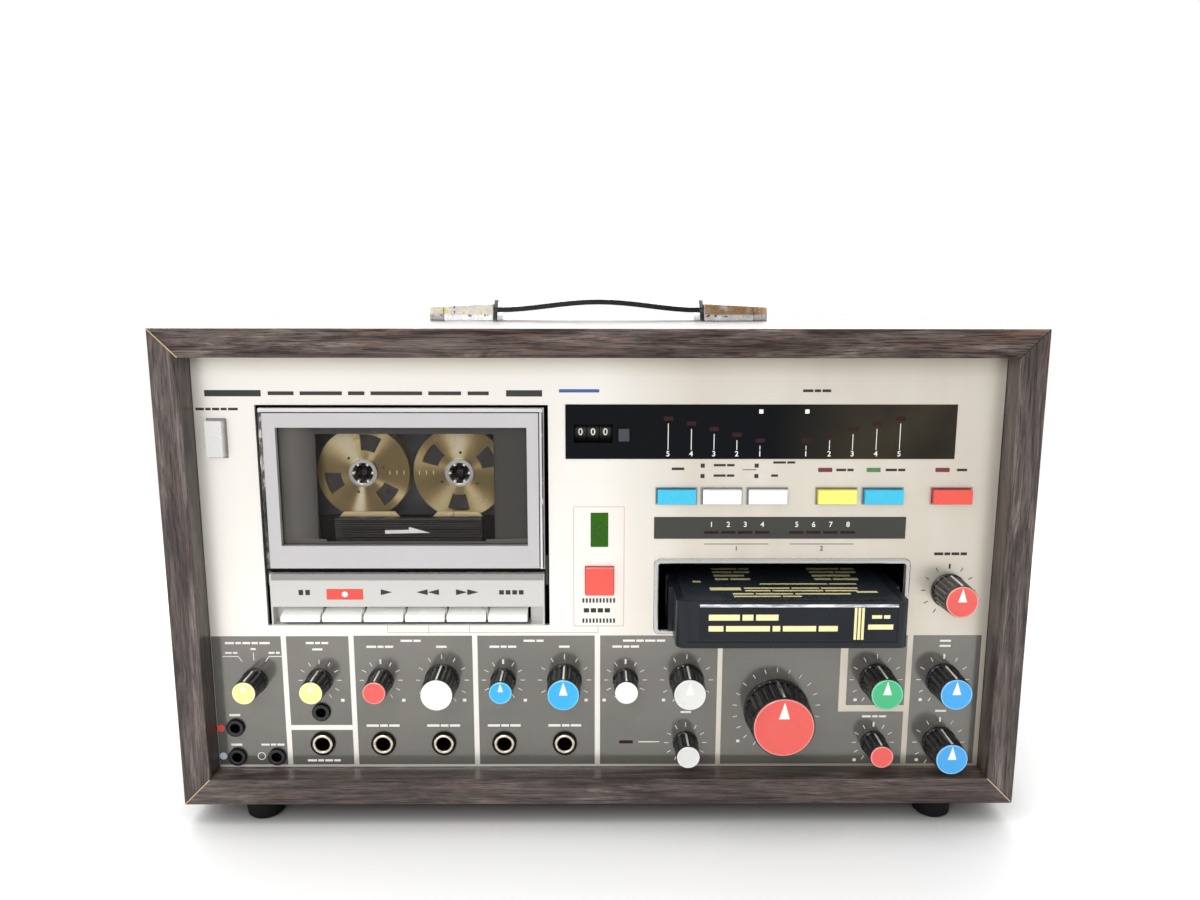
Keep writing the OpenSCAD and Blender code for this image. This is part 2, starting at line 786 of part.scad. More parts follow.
// fluted body on a skirt, a coloured cap and the shaft through the panel
module knob(u, v, r, l, flutes, cap_color) {
    body_l = l - cap_t - knob_gap;
    translate([px(u), py(-knob_gap), pz(v)]) rotate([90, 0, 0]) {
        color([0.05, 0.05, 0.06]) {
            cylinder(h = 1.6, r = r + 0.3);
            linear_extrude(body_l) difference() {
                circle(r = r);
                for (i = [0 : flutes - 1]) rotate((i + 0.5) * 360 / flutes)
                    translate([r + 0.35, 0]) circle(r = r * 2.1 / flutes);
            }
            translate([0, 0, -knob_gap - pot_d + 3]) cylinder(h = knob_gap + pot_d - 2, r = shaft_r);
        }
        color(cap_color) {
            translate([0, 0, body_l]) cylinder(h = cap_t - 0.5, r = r * 0.91);
            translate([0, 0, body_l + cap_t - 0.5]) cylinder(h = 0.5, r1 = r * 0.91, r2 = r * 0.91 - 0.5);
        }
    }
}

module small_knob(i, cap_color) {
    knob(rotary[i][0], rotary[i][1], small_r, small_l, 18, cap_color);
}

module medium_knob(i, cap_color) {
    knob(rotary[i][0], rotary[i][1], medium_r, medium_l, 24, cap_color);
}

yellow = [0.9, 0.8, 0.3];
red = [0.9, 0.4, 0.37];
white = [0.95, 0.95, 0.93];
blue = [0.25, 0.65, 0.92];
green = [0.3, 0.8, 0.5];

module mode_knob() {
    small_knob(0, yellow);
}

module earphone_knob() {
    small_knob(1, yellow);
}

module mic1_pan_knob() {
    small_knob(2, red);
}

module mic1_volume_knob() {
    medium_knob(3, white);
}

module mic2_pan_knob() {
    small_knob(4, blue);
}

module mic2_volume_knob() {
    medium_knob(5, blue);
}

module wireless_pan_knob() {
    small_knob(6, white);
}

module wireless_volume_knob() {
    medium_knob(7, white);
}

module tuning_knob() {
    small_knob(8, white);
}

module master_volume_knob() {
    knob(rotary[9][0], rotary[9][1], large_r, large_l, 30, red);
}

module echo_knob() {
    medium_knob(10, green);
}

module balance_knob() {
    small_knob(11, red);
}

module treble_knob() {
    medium_knob(12, blue);
}

module bass_knob() {
    medium_knob(13, blue);
}

module tape_speed_knob() {
    medium_knob(14, red);
}

cabinet_top();
cabinet_bottom();
cabinet_sides();
back_cover();
feet();
chassis_tray();
front_panel();
handle_end_caps();
handle_strap();
deck_well();
cassette_door();
door_window();
cassette_holder();
cassette_shell();
supply_reel();
takeup_reel();
supply_spindle();
takeup_spindle();
key_housing();
stop_key();
record_key();
play_key();
rewind_key();
fast_forward_key();
pause_key();
eject_button();
slot_bezel();
cartridge_guide();
cartridge();
display_windows();
counter_frame();
counter_hundreds_wheel();
counter_tens_wheel();
counter_units_wheel();
counter_reset_button();
song_select_button();
tape_type_button();
side_button();
cue_button();
start_button();
power_button();
auto_select_button();
potentiometers();
jack_sockets();
mains_inlet();
mode_knob();
earphone_knob();
mic1_pan_knob();
mic1_volume_knob();
mic2_pan_knob();
mic2_volume_knob();
wireless_pan_knob();
wireless_volume_knob();
tuning_knob();
master_volume_knob();
echo_knob();
balance_knob();
treble_knob();
bass_knob();
tape_speed_knob();
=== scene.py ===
from math import cos, hypot, pi, radians, sin

import bmesh
import bpy
from mathutils import Matrix, Vector


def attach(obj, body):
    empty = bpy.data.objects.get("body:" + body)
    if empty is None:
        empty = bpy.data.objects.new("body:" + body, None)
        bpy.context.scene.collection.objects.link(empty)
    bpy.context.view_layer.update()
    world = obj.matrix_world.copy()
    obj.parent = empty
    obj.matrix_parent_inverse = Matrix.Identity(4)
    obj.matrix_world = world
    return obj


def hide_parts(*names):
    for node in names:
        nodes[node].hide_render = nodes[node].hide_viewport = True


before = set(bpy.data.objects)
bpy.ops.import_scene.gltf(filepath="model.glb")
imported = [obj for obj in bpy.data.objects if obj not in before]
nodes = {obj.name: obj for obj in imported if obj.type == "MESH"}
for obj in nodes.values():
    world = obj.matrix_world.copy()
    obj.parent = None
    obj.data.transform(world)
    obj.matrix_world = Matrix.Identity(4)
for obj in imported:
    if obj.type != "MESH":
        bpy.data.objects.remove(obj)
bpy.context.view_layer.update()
scene = bpy.context.scene

# u, v and d are the millimetres of the case's plan: u from its left side, v from its underside,
# d from the panel's face inwards.
CAB_W, CAB_H, FOOT = 372.0, 212.0, 10.0
FRONT_Y = -128.5
PANEL_Y = FRONT_Y + 11


def at(u, v, d=0.0):
    return Vector(((u - CAB_W / 2) / 1000, (PANEL_Y + d) / 1000, (FOOT + v) / 1000))


# ---------------------------------------------------------------- materials


def lin(c):
    """A colour in linear light; one with a part above 1 is given in steps of 0 to 255."""
    if max(c) <= 1:
        return tuple(c)
    return tuple(x / 12.92 if x <= 0.04045 else ((x + 0.055) / 1.055) ** 2.4 for x in (k / 255 for k in c))


class Nodes:
    """A small helper round one material's node tree."""

    def __init__(self, name):
        self.mat = bpy.data.materials.new(name)
        self.mat.use_nodes = True
        self.tree = self.mat.node_tree
        self.tree.nodes.clear()
        self.out = self.add("ShaderNodeOutputMaterial")
        self.bsdf = self.add("ShaderNodeBsdfPrincipled")
        self.link(self.bsdf.outputs[0], self.out.inputs[0])
        self.coord = self.add("ShaderNodeTexCoord")

    def add(self, kind, **props):
        n = self.tree.nodes.new(kind)
        for k, v in props.items():
            setattr(n, k, v)
        return n

    def link(self, a, b):
        self.tree.links.new(a, b)

    def noise(self, scale, stretch=(1, 1, 1), detail=3.0, rough=0.5, distortion=0.0):
        m = self.add("ShaderNodeMapping")
        m.inputs["Scale"].default_value = stretch
        self.link(self.coord.outputs["Object"], m.inputs["Vector"])
        n = self.add("ShaderNodeTexNoise")
        n.inputs["Scale"].default_value = scale
        n.inputs["Detail"].default_value = detail
        n.inputs["Roughness"].default_value = rough
        n.inputs["Distortion"].default_value = distortion
        self.link(m.outputs[0], n.inputs["Vector"])
        return n.outputs["Fac"]

    def axis(self, k):
        """One of the object's own coordinates, in metres."""
        sep = self.add("ShaderNodeSeparateXYZ")
        self.link(self.coord.outputs["Object"], sep.inputs[0])
        return sep.outputs[k]

    def math(self, op, a, b=0.0, c=0.0):
        m = self.add("ShaderNodeMath", operation=op)
        for k, v in enumerate((a, b, c)):
            if isinstance(v, (int, float)):
                m.inputs[k].default_value = v
            else:
                self.link(v, m.inputs[k])
        return m.outputs[0]

    def ramp(self, fac, stops):
        r = self.add("ShaderNodeValToRGB")
        e = r.color_ramp.elements
        while len(e) < len(stops):
            e.new(0.5)
        for k, (p, c) in enumerate(stops):
            e[k].position = p
            e[k].color = (*lin(c), 1)
        self.link(fac, r.inputs[0])
        return r.outputs[0]

    def grey(self, fac, lo, hi, a=0.3, b=0.7):
        m = self.add("ShaderNodeMapRange")
        m.inputs["From Min"].default_value = a
        m.inputs["From Max"].default_value = b
        m.inputs["To Min"].default_value = lo
        m.inputs["To Max"].default_value = hi
        self.link(fac, m.inputs["Value"])
        return m.outputs[0]

    def mix(self, fac, a, b, blend="MIX"):
        m = self.add("ShaderNodeMix", data_type="RGBA", blend_type=blend)
        for val, k in ((fac, 0), (a, 6), (b, 7)):
            if isinstance(val, (int, float)):
                m.inputs[k].default_value = val
            elif isinstance(val, tuple):
                m.inputs[k].default_value = (*lin(val), 1)
            else:
                self.link(val, m.inputs[k])
        return m.outputs[2]

    def bump(self, height, strength, distance):
        b = self.add("ShaderNodeBump")
        b.inputs["Strength"].default_value = strength
        b.inputs["Distance"].default_value = distance
        self.link(height, b.inputs["Height"])
        self.link(b.outputs[0], self.bsdf.inputs["Normal"])

    def set(self, **vals):
        names = {"metal": "Metallic", "rough": "Roughness", "spec": "Specular IOR Level", "coat": "Coat Weight",
                 "coat_rough": "Coat Roughness", "ior": "IOR", "alpha": "Alpha", "aniso": "Anisotropic",
                 "color": "Base Color"}
        for k, v in vals.items():
            socket = self.bsdf.inputs[names[k]]
            if isinstance(v, (int, float)):
                socket.default_value = v
            elif isinstance(v, tuple):
                socket.default_value = (*lin(v), 1)
            else:
                self.link(v, socket)


# the looks by their short names
M = {}


def shade(c, k):
    return tuple(min(1.0, x * k) for x in c)


def plastic(key, name, rgb, rough, vary, grain, scale=900, coat=0.0, metal=0.0, spec=0.5, dust=0.0):
    n = Nodes(name)
    c = lin(rgb)
    tone = n.noise(35, detail=4)
    col = n.ramp(tone, [(0.3, shade(c, 1 - vary)), (0.7, shade(c, 1 + vary))])
    if dust:
        specks = n.noise(420, detail=2)
        col = n.mix(n.grey(specks, 0, dust, 0.6, 0.75), col, shade(c, 1.6) if max(c) < 0.4 else shade(c, 0.75))
    n.set(color=col, metal=metal, spec=spec, coat=coat, coat_rough=0.08)
    n.set(rough=n.grey(n.noise(120, detail=3), max(0.02, rough - 0.06), rough + 0.08))
    n.bump(n.noise(scale * 3, detail=2), grain, 0.00004)
    M[key] = n.mat


def wood(name, along, dark=0.92, rough=0.36, spec=0.42):
    """Rosewood vinyl: dark and light streaks along one axis, fine pores and a reddish figure."""
    def grain(k):
        return (1, k, k) if along == "x" else (k, k, 1)

    n = Nodes(name)
    broad = n.noise(15.0, grain(11), detail=8, rough=0.74, distortion=1.0)
    streak = n.noise(34.0, grain(30), detail=5, rough=0.78, distortion=0.4)
    pores = n.noise(90.0, grain(26), detail=2, rough=0.6)
    red = n.noise(17.0, grain(13), detail=5, rough=0.65, distortion=0.8)
    tones = ((0.32, (42, 33, 31)), (0.44, (74, 63, 60)), (0.56, (104, 93, 89)), (0.68, (146, 133, 127)))
    # dark scales every tone, so each board gets its own level of painted light and shade
    base = n.ramp(broad, [(k, shade(lin(c), dark)) for k, c in tones])
    warm = n.mix(n.grey(red, 0.0, 0.6, 0.56, 0.7), base, shade(lin((124, 88, 72)), dark))
    lines = n.ramp(streak, [(0.34, (0.16, 0.13, 0.12)), (0.48, (0.9, 0.88, 0.87)), (0.66, (1.0, 1.0, 1.0))])
    holes = n.ramp(pores, [(0.39, (0.2, 0.17, 0.16)), (0.47, (1, 1, 1))])
    col = n.mix(0.7, n.mix(0.85, warm, lines, "MULTIPLY"), holes, "MULTIPLY")
    n.set(color=col, rough=n.grey(streak, rough - 0.06, rough + 0.1), spec=spec)
    n.bump(pores, 0.35, 0.00012)
    return n.mat


# the brushing runs along x: noise stretched along it and squeezed across it
BRUSHING = (0.35, 1, 130)


def brushed(key, name, rgb, rough, streaks, metal=1.0):
    n = Nodes(name)
    c = lin(rgb)
    line = n.noise(16, BRUSHING, detail=3, rough=0.7)
    fine = n.noise(60, BRUSHING, detail=2, rough=0.7)
    cloud = n.noise(9, detail=2)
    a = n.ramp(line, [(0.3, shade(c, 1 - streaks)), (0.7, shade(c, 1 + streaks * 0.6))])
    n.set(color=n.mix(n.grey(cloud, 0, 0.25), a, shade(c, 0.97)), metal=metal, aniso=0.4)
    n.set(rough=n.grey(fine, rough - 0.05, rough + 0.07))
    n.bump(fine, 0.06, 0.00003)
    M[key] = n.mat


# one rosewood at three levels: the top is painted lighter and the sides darker than the bottom board, as painted
# light and shade
M["wood_x"] = wood("rosewood_along_x", "x")
M["wood_z"] = wood("rosewood_along_z", "z", dark=0.84)
M["wood_top"] = wood("rosewood_top", "x", dark=1.02, rough=0.36, spec=0.14)


def silver_panel():
    """Brushed silver with painted shade and reflection: it turns warmer and greyer from its middle to its upper
    right, in vertical bands, and darker along its top edge.
    """
    n = Nodes("silver_panel")
    c = lin((242, 238, 231))
    line = n.noise(16, BRUSHING, detail=3, rough=0.7)
    fine = n.noise(60, BRUSHING, detail=2, rough=0.7)
    cloud = n.noise(9, detail=2)
    # painted reflection and shade: darker towards the right, in vertical bands there, and along the top edge under
    # the frame
    right = n.grey(n.axis(0), 0.0, 0.5, 0.0, 0.05)
    high = n.grey(n.axis(2), 0.0, 0.36, 0.201, 0.2085)
    painted_reflection_bands = n.noise(30, (1, 1, 0.12), detail=2)
    tone = n.math("ADD", n.math("MULTIPLY_ADD", n.grey(painted_reflection_bands, 0.55, 1.15), right, high), n.grey(cloud, -0.06, 0.06))
    a = n.ramp(line, [(0.3, shade(c, 0.982)), (0.7, shade(c, 1.012))])
    warm = n.ramp(tone, [(0.0, (1.0, 1.0, 1.0)), (0.5, (0.73, 0.695, 0.63)), (1.0, (0.5, 0.47, 0.42))])
    n.set(color=n.mix(1.0, a, warm, "MULTIPLY"), metal=0.6, aniso=0.4, rough=n.grey(fine, 0.28, 0.34))
    n.bump(fine, 0.012, 0.00003)
    return n.mat


M["panel"] = silver_panel()


def printed_field():
    n = Nodes("printed_grey")
    c = lin((119, 117, 111))
    tone = n.noise(18, detail=4)
    smear = n.noise(30, (1, 1, 5), detail=4, rough=0.65)
    specks = n.noise(500, detail=2)
    a = n.ramp(tone, [(0.3, shade(c, 0.9)), (0.7, shade(c, 1.08))])
    a = n.mix(n.grey(smear, 0, 0.35, 0.45, 0.75), a, shade(c, 1.22))
    n.set(color=n.mix(n.grey(specks, 0, 0.3, 0.66, 0.75), a, shade(c, 1.5)), metal=0.5)
    n.set(rough=n.grey(smear, 0.1, 0.2))
    n.bump(n.noise(260, (1, 1, 6), detail=2), 0.05, 0.00002)
    return n.mat


M["print_grey"] = printed_field()
plastic("ink_white", "ink_white", (238, 236, 230), 0.5, 0.03, 0.05)
plastic("ink_black", "ink_black", (38, 36, 36), 0.5, 0.05, 0.05)
plastic("ink_pink", "ink_pink", (206, 176, 176), 0.5, 0.03, 0.05)
plastic("ink_red", "ink_red", (222, 76, 66), 0.45, 0.03, 0.05)
plastic("ink_blue", "ink_pale_blue", (190, 208, 226), 0.45, 0.03, 0.05)
plastic("black", "black_plastic", (24, 24, 26), 0.42, 0.12, 0.35, 700, spec=0.3, dust=0.2)
plastic("deep_black", "deep_black", (7, 7, 8), 0.5, 0.15, 0.2, 700, spec=0.12)
plastic("knob", "knob_black", (11, 12, 14), 0.2, 0.15, 0.1, 500, spec=0.42, dust=0.12)
plastic("strip", "strip_grey", (60, 60, 55), 0.35, 0.05, 0.1, spec=0.3)
plastic("rubber", "foot_rubber", (14, 15, 17), 0.6, 0.15, 0.4, 400, spec=0.15, dust=0.15)
brushed("zinc", "zinc_steel", (170, 172, 174), 0.35, 0.1)
brushed("housing", "housing_silver", (204, 203, 198), 0.36, 0.02, metal=0.5)
plastic("door", "door_silver", (190, 187, 188), 0.34, 0.02, 0.12, 1200, metal=0.3, coat=0.15)
brushed("bright", "bright_trim", (226, 225, 224), 0.12, 0.02)
brushed("nickel", "nickel_ring", (226, 218, 194), 0.2, 0.03, metal=0.75)
plastic("collar", "jack_collar", (40, 41, 44), 0.35, 0.08, 0.1, spec=0.4)
plastic("key", "key_white", (252, 252, 249), 0.22, 0.01, 0.05, coat=0.2)
plastic("eject", "eject_silver", (212, 211, 210), 0.25, 0.02, 0.05, metal=0.3, coat=0.2)
plastic("grey", "button_grey", (62, 66, 72), 0.4, 0.06, 0.2, spec=0.3)
plastic("frame", "button_frame", (158, 158, 155), 0.3, 0.05, 0.1, metal=0.4)
plastic("mask", "mask_grey", (60, 58, 54), 0.5, 0.05, 0.15, spec=0.3)
plastic("mask_lit", "mask_ledge", (96, 93, 88), 0.5, 0.05, 0.15, spec=0.3)
# its strong streaks paint the glossy reflections that run across the cassette's back
brushed("bay", "bay_blue_grey", (82, 84, 92), 0.4, 0.5, metal=0.1)
# a darker copy of the housing silver: painted shade on the rounded bar under the door
brushed("band", "housing_bar", (150, 149, 146), 0.2, 0.03, metal=0.7)
brushed("bezel", "bezel_silver", (190, 190, 188), 0.22, 0.03, metal=0.8)
plastic("hardboard", "hardboard", (58, 47, 40), 0.75, 0.18, 0.8, 260, dust=0.35)
CAPS = {"yellow": (240, 241, 150), "red": (224, 88, 80), "white": (246, 246, 243), "blue": (58, 160, 228),
        "sky": (44, 172, 228), "pale": (218, 219, 216), "green": (60, 182, 124)}
BUTTONS = {"blue": (48, 186, 222), "white": (244, 244, 241), "yellow": (240, 234, 112), "red": (230, 78, 64)}
for k, c in CAPS.items():
    plastic("cap_" + k, "cap_" + k, c, 0.3, 0.03, 0.12, coat=0.1)
    # the rim is the cap's colour lightened towards white: painted light on the rim's edge
    plastic("rim_" + k, "rim_" + k, tuple(int(x + (255 - x) * 0.35) for x in c), 0.25, 0.03, 0.05, coat=0.2)
for k, c in BUTTONS.items():
    plastic("button_" + k, "button_" + k, c, 0.22, 0.03, 0.05, coat=0.3)
plastic("led_red", "led_red", (108, 26, 34), 0.2, 0.06, 0.05, coat=0.3)
plastic("led_dark", "led_dark_red", (46, 19, 21), 0.25, 0.2, 0.05, spec=0.2)
plastic("led_green", "led_green", (66, 122, 70), 0.25, 0.06, 0.05, coat=0.3)
plastic("digit_green", "digit_window_green", (46, 98, 14), 0.3, 0.08, 0.05, spec=0.1)
plastic("segment", "segment_dark", (24, 66, 18), 0.3, 0.05, 0.05)
plastic("cream", "label_cream", (236, 228, 170), 0.45, 0.08, 0.1)
plastic("label", "label_black", (22, 26, 31), 0.2, 0.35, 0.1, 200, coat=0.05, dust=0.45, spec=0.2)
# a lighter copy of the black label: painted reflection on the lid's label
plastic("lid", "lid_black", (40, 45, 51), 0.3, 0.25, 0.1, 200, dust=0.3, spec=0.5)
plastic("holder", "holder_grey", (54, 52, 49), 0.4, 0.06, 0.15, spec=0.4)
# grey plates in the gaps between the keys: painted light standing in for the keys' lit sides
plastic("rib", "rib_grey", (176, 173, 160), 0.4, 0.05, 0.1)
brushed("hub", "hub_silver", (176, 174, 170), 0.3, 0.03, metal=0.7)
plastic("ink_deep_blue", "ink_deep_blue", (46, 84, 150), 0.5, 0.05, 0.05)
plastic("cartridge", "cartridge_black", (27, 31, 36), 0.3, 0.14, 0.4, 500, spec=0.26, dust=0.2)
plastic("tooth", "hub_white", (228, 228, 224), 0.4, 0.03, 0.05)
plastic("tape", "tape_dark", (46, 42, 40), 0.3, 0.1, 0.05)
plastic("gap", "mitre_gap", (30, 22, 18), 0.7, 0.1, 0.2)
plastic("edge", "mitre_edge", (214, 186, 138), 0.6, 0.15, 0.3)


def chrome_worn():
    """Chrome cap: a white foot that is a painted reflection of the cabinet's bright top, flecks along its line, and
    a tarnish that grows towards the right.
    """
    n = Nodes("handle_chrome")
    wear_and_glint = n.noise(150, (1, 1, 1), detail=6, rough=0.7)
    spots = n.noise(620, detail=3)
    x, z = n.axis(0), n.axis(2)
    high = n.grey(z, 0.0, 1.0, 0.2246, 0.2256)
    side = n.grey(x, 0.12, 1.0, -0.01, 0.02)
    old = n.ramp(wear_and_glint, [(0.36, (214, 204, 192)), (0.5, (190, 156, 118)), (0.7, (150, 112, 74))])
    pale = n.ramp(wear_and_glint, [(0.42, (244, 243, 238)), (0.6, (236, 226, 186)), (0.74, (196, 164, 98))])
    upper = n.mix(side, pale, old)
    rim = n.math("MULTIPLY", n.grey(z, 0.0, 1.0, 0.2238, 0.2241), n.grey(spots, 1.0, 0.0, 0.4, 0.46))
    # below the flecked line the cap is pure white: a painted reflection of the bright cabinet top
    foot = n.mix(rim, (255, 255, 255), (70, 62, 56))
    col = n.mix(high, foot, n.mix(n.grey(spots, 0, 0.9, 0.66, 0.7), upper, (70, 58, 44)))
    n.set(color=col, metal=0.75, rough=n.grey(wear_and_glint, 0.14, 0.4, 0.4, 0.7))
    n.bump(wear_and_glint, 0.2, 0.00008)
    return n.mat


def strap_skin():
    n = Nodes("strap_black")
    c = lin((8, 8, 9))
    weave = n.noise(300, (1, 3, 1), detail=3)
    n.set(color=n.ramp(weave, [(0.3, shade(c, 0.8)), (0.7, shade(c, 1.5))]), spec=0.3, coat=0.25, coat_rough=0.12)
    n.set(rough=n.grey(weave, 0.22, 0.42))
    n.bump(n.noise(700, detail=2), 0.3, 0.00008)
    return n.mat


def glass(name, tint, alpha, rough=0.03):
    """A clear sheet whose tint and cover come from its own nodes."""
    n = Nodes(name)
    smear = n.noise(24, detail=3)
    c = lin(tint)
    n.set(color=n.ramp(smear, [(0.3, shade(c, 0.9)), (0.7, shade(c, 1.1))]), alpha=alpha)
    n.set(rough=n.grey(smear, rough, rough + 0.05), spec=0.5, ior=1.45)
    return n.mat


def brass(name, u, v, peaks):
    """Spun brass with a painted sheen: light wedges painted into its colour fan out from the hub at (u, v) in the
    directions of the peaks.
    """
    n = Nodes(name)
    c = at(u, v)
    dx = n.math("SUBTRACT", n.axis(0), c.x)
    dz = n.math("SUBTRACT", n.axis(2), c.z)
    turn = n.math("ARCTAN2", dz, dx)
    cloud = n.noise(60, detail=3)
    painted_sheen = 0.0
    for angle, sharp, weight in peaks:
        lobe = n.math("COSINE", n.math("SUBTRACT", turn, radians(angle)))
        lobe = n.math("POWER", n.math("MAXIMUM", lobe, 0.0), sharp)
        painted_sheen = n.math("MULTIPLY_ADD", lobe, weight, painted_sheen)
    painted_sheen = n.math("ADD", painted_sheen, n.grey(cloud, -0.06, 0.06))
    col = n.ramp(painted_sheen, [(0.0, (128, 108, 66)), (0.25, (172, 148, 98)), (0.6, (240, 216, 164)),
                        (1.0, (255, 248, 226))])
    n.set(color=col, metal=0.45, rough=n.grey(cloud, 0.26, 0.4))
    n.bump(n.noise(900, detail=2), 0.04, 0.00002)
    return n.mat


# middle of the cassette, height of its hubs and their distance from the middle
TAPE_U, HUB_V, HUB_STEP = 103.0, 148.2, 21.25


def window_brown_cast():
    """Black window that turns brownish towards its right end."""
    n = Nodes("window_black")
    brown_cast = n.math("MULTIPLY", n.grey(n.axis(0), 0.0, 1.0, 0.075, 0.12), n.grey(n.noise(26, detail=3), 0.25, 0.85))
    n.set(color=n.mix(brown_cast, (7, 10, 14), (62, 56, 43)), spec=0.1)
    n.set(rough=n.grey(n.noise(120, detail=3), 0.05, 0.14))
    return n.mat


def label_edge():
    """The label's folded edge, with bright streaks along it: painted highlights."""
    n = Nodes("label_edge")
    wear_and_glint = n.noise(60, (1, 8, 8), detail=5, rough=0.7)
    n.set(color=n.ramp(wear_and_glint, [(0.3, (70, 74, 80)), (0.42, (150, 154, 160)), (0.56, (244, 246, 248))]), coat=0.4)
    n.set(rough=n.grey(wear_and_glint, 0.15, 0.3))
    return n.mat


def wall_shade():
    """Recessed wall beside the reels: lit at its outer edge, dark towards the tape."""
    n = Nodes("bay_wall")
    x = n.axis(0)
    fade = n.ramp(n.grey(x, 0.0, 1.0, at(47.4, 0).x, at(63.2, 0).x),
                  [(0.0, (88, 85, 80)), (0.35, (98, 95, 90)), (0.8, (76, 73, 69)), (1.0, (52, 50, 47))])
    n.set(color=n.mix(n.grey(n.noise(90, detail=3), 0, 0.3), fade, (70, 68, 64)), rough=0.5, spec=0.3)
    return n.mat


def dark_chrome():
    """The door's chrome outer edge, painted dark with bright flecks along it: its painted reflection and glints."""
    n = Nodes("dark_chrome")
    wear_and_glint = n.noise(190, (1, 1, 0.35), detail=5, rough=0.75)
    n.set(color=n.ramp(wear_and_glint, [(0.42, (38, 38, 39)), (0.56, (92, 91, 90)), (0.66, (214, 212, 210))]), metal=0.5)
    n.set(rough=n.grey(wear_and_glint, 0.14, 0.34))
    return n.mat


M["dark_chrome"] = dark_chrome()
M["wall"] = wall_shade()
M["window"] = window_brown_cast()
M["edge_label"] = label_edge()
M["chrome"] = chrome_worn()
M["strap"] = strap_skin()
M["glass"] = glass("door_glass", (40, 38, 36), 0.1)
M["shell"] = glass("shell_smoke", (70, 62, 54), 0.08, 0.08)
plastic("gold", "guide_gold", (226, 206, 158), 0.3, 0.06, 0.05, metal=0.4)
# each reel's painted sheen: angle, sharpness and weight of each light wedge
M["brass_supply"] = brass("brass_supply", TAPE_U - HUB_STEP, HUB_V,
                          ((118, 6, 0.8), (262, 60, 0.9), (62, 30, 0.55), (326, 50, 0.5), (200, 12, 0.2)))
M["brass_takeup"] = brass("brass_takeup", TAPE_U + HUB_STEP, HUB_V,
                          ((94, 10, 0.85), (240, 14, 0.5), (300, 16, 0.6), (160, 20, 0.35), (20, 30, 0.3)))

CAD_LOOK = {
    "wood_top": "cabinet_top", "wood_x": "cabinet_bottom", "wood_z": "cabinet_sides", "hardboard": "back_cover",
    "rubber": "feet", "zinc": "chassis_tray potentiometers", "panel": "front_panel", "chrome": "handle_end_caps",
    "strap": "handle_strap", "deep_black": "deck_well cartridge_guide counter_frame jack_sockets",
    "door": "cassette_door", "glass": "door_window", "holder": "cassette_holder", "shell": "cassette_shell",
    "brass_supply": "supply_reel", "brass_takeup": "takeup_reel", "housing": "key_housing", "bezel": "slot_bezel",
    "black": "supply_spindle takeup_spindle mains_inlet", "cartridge": "cartridge", "window": "display_windows",
    "grey": "counter_reset_button", "button_blue": "song_select_button start_button", "eject": "eject_button",
    "button_white": "tape_type_button side_button", "button_yellow": "cue_button",
    "button_red": "power_button auto_select_button",
}
FAMILY_LOOK = {"_key": "key", "_knob": "knob", "_wheel": "black"}


def dress(name, mat):
    obj = nodes[name]
    if not obj.material_slots:
        obj.data.materials.append(mat)
    for s in obj.material_slots:
        s.material = mat


def soften(name, width):
    """Rounds the sharp edges of a CAD piece with modifiers only."""
    obj = nodes[name]
    w = obj.modifiers.new("weld", "WELD")
    w.merge_threshold = 0.000002
    b = obj.modifiers.new("round", "BEVEL")
    b.width = width
    b.segments = 3
    b.limit_method = "ANGLE"
    b.angle_limit = radians(40)


for look, names in CAD_LOOK.items():
    for name in names.split():
        dress(name, M[look])
for name in nodes:
    for ending, look in FAMILY_LOOK.items():
        if name.endswith(ending):
            dress(name, M[look])

# ---------------------------------------------------------------- mesh builder


def placed(name, data):
    """A new object in the scene."""
    obj = bpy.data.objects.new(name, data)
    scene.collection.objects.link(obj)
    return obj


def turned(u, v, r, a):
    """The point at radius r and angle a from (u, v)."""
    return u + r * cos(a), v + r * sin(a)


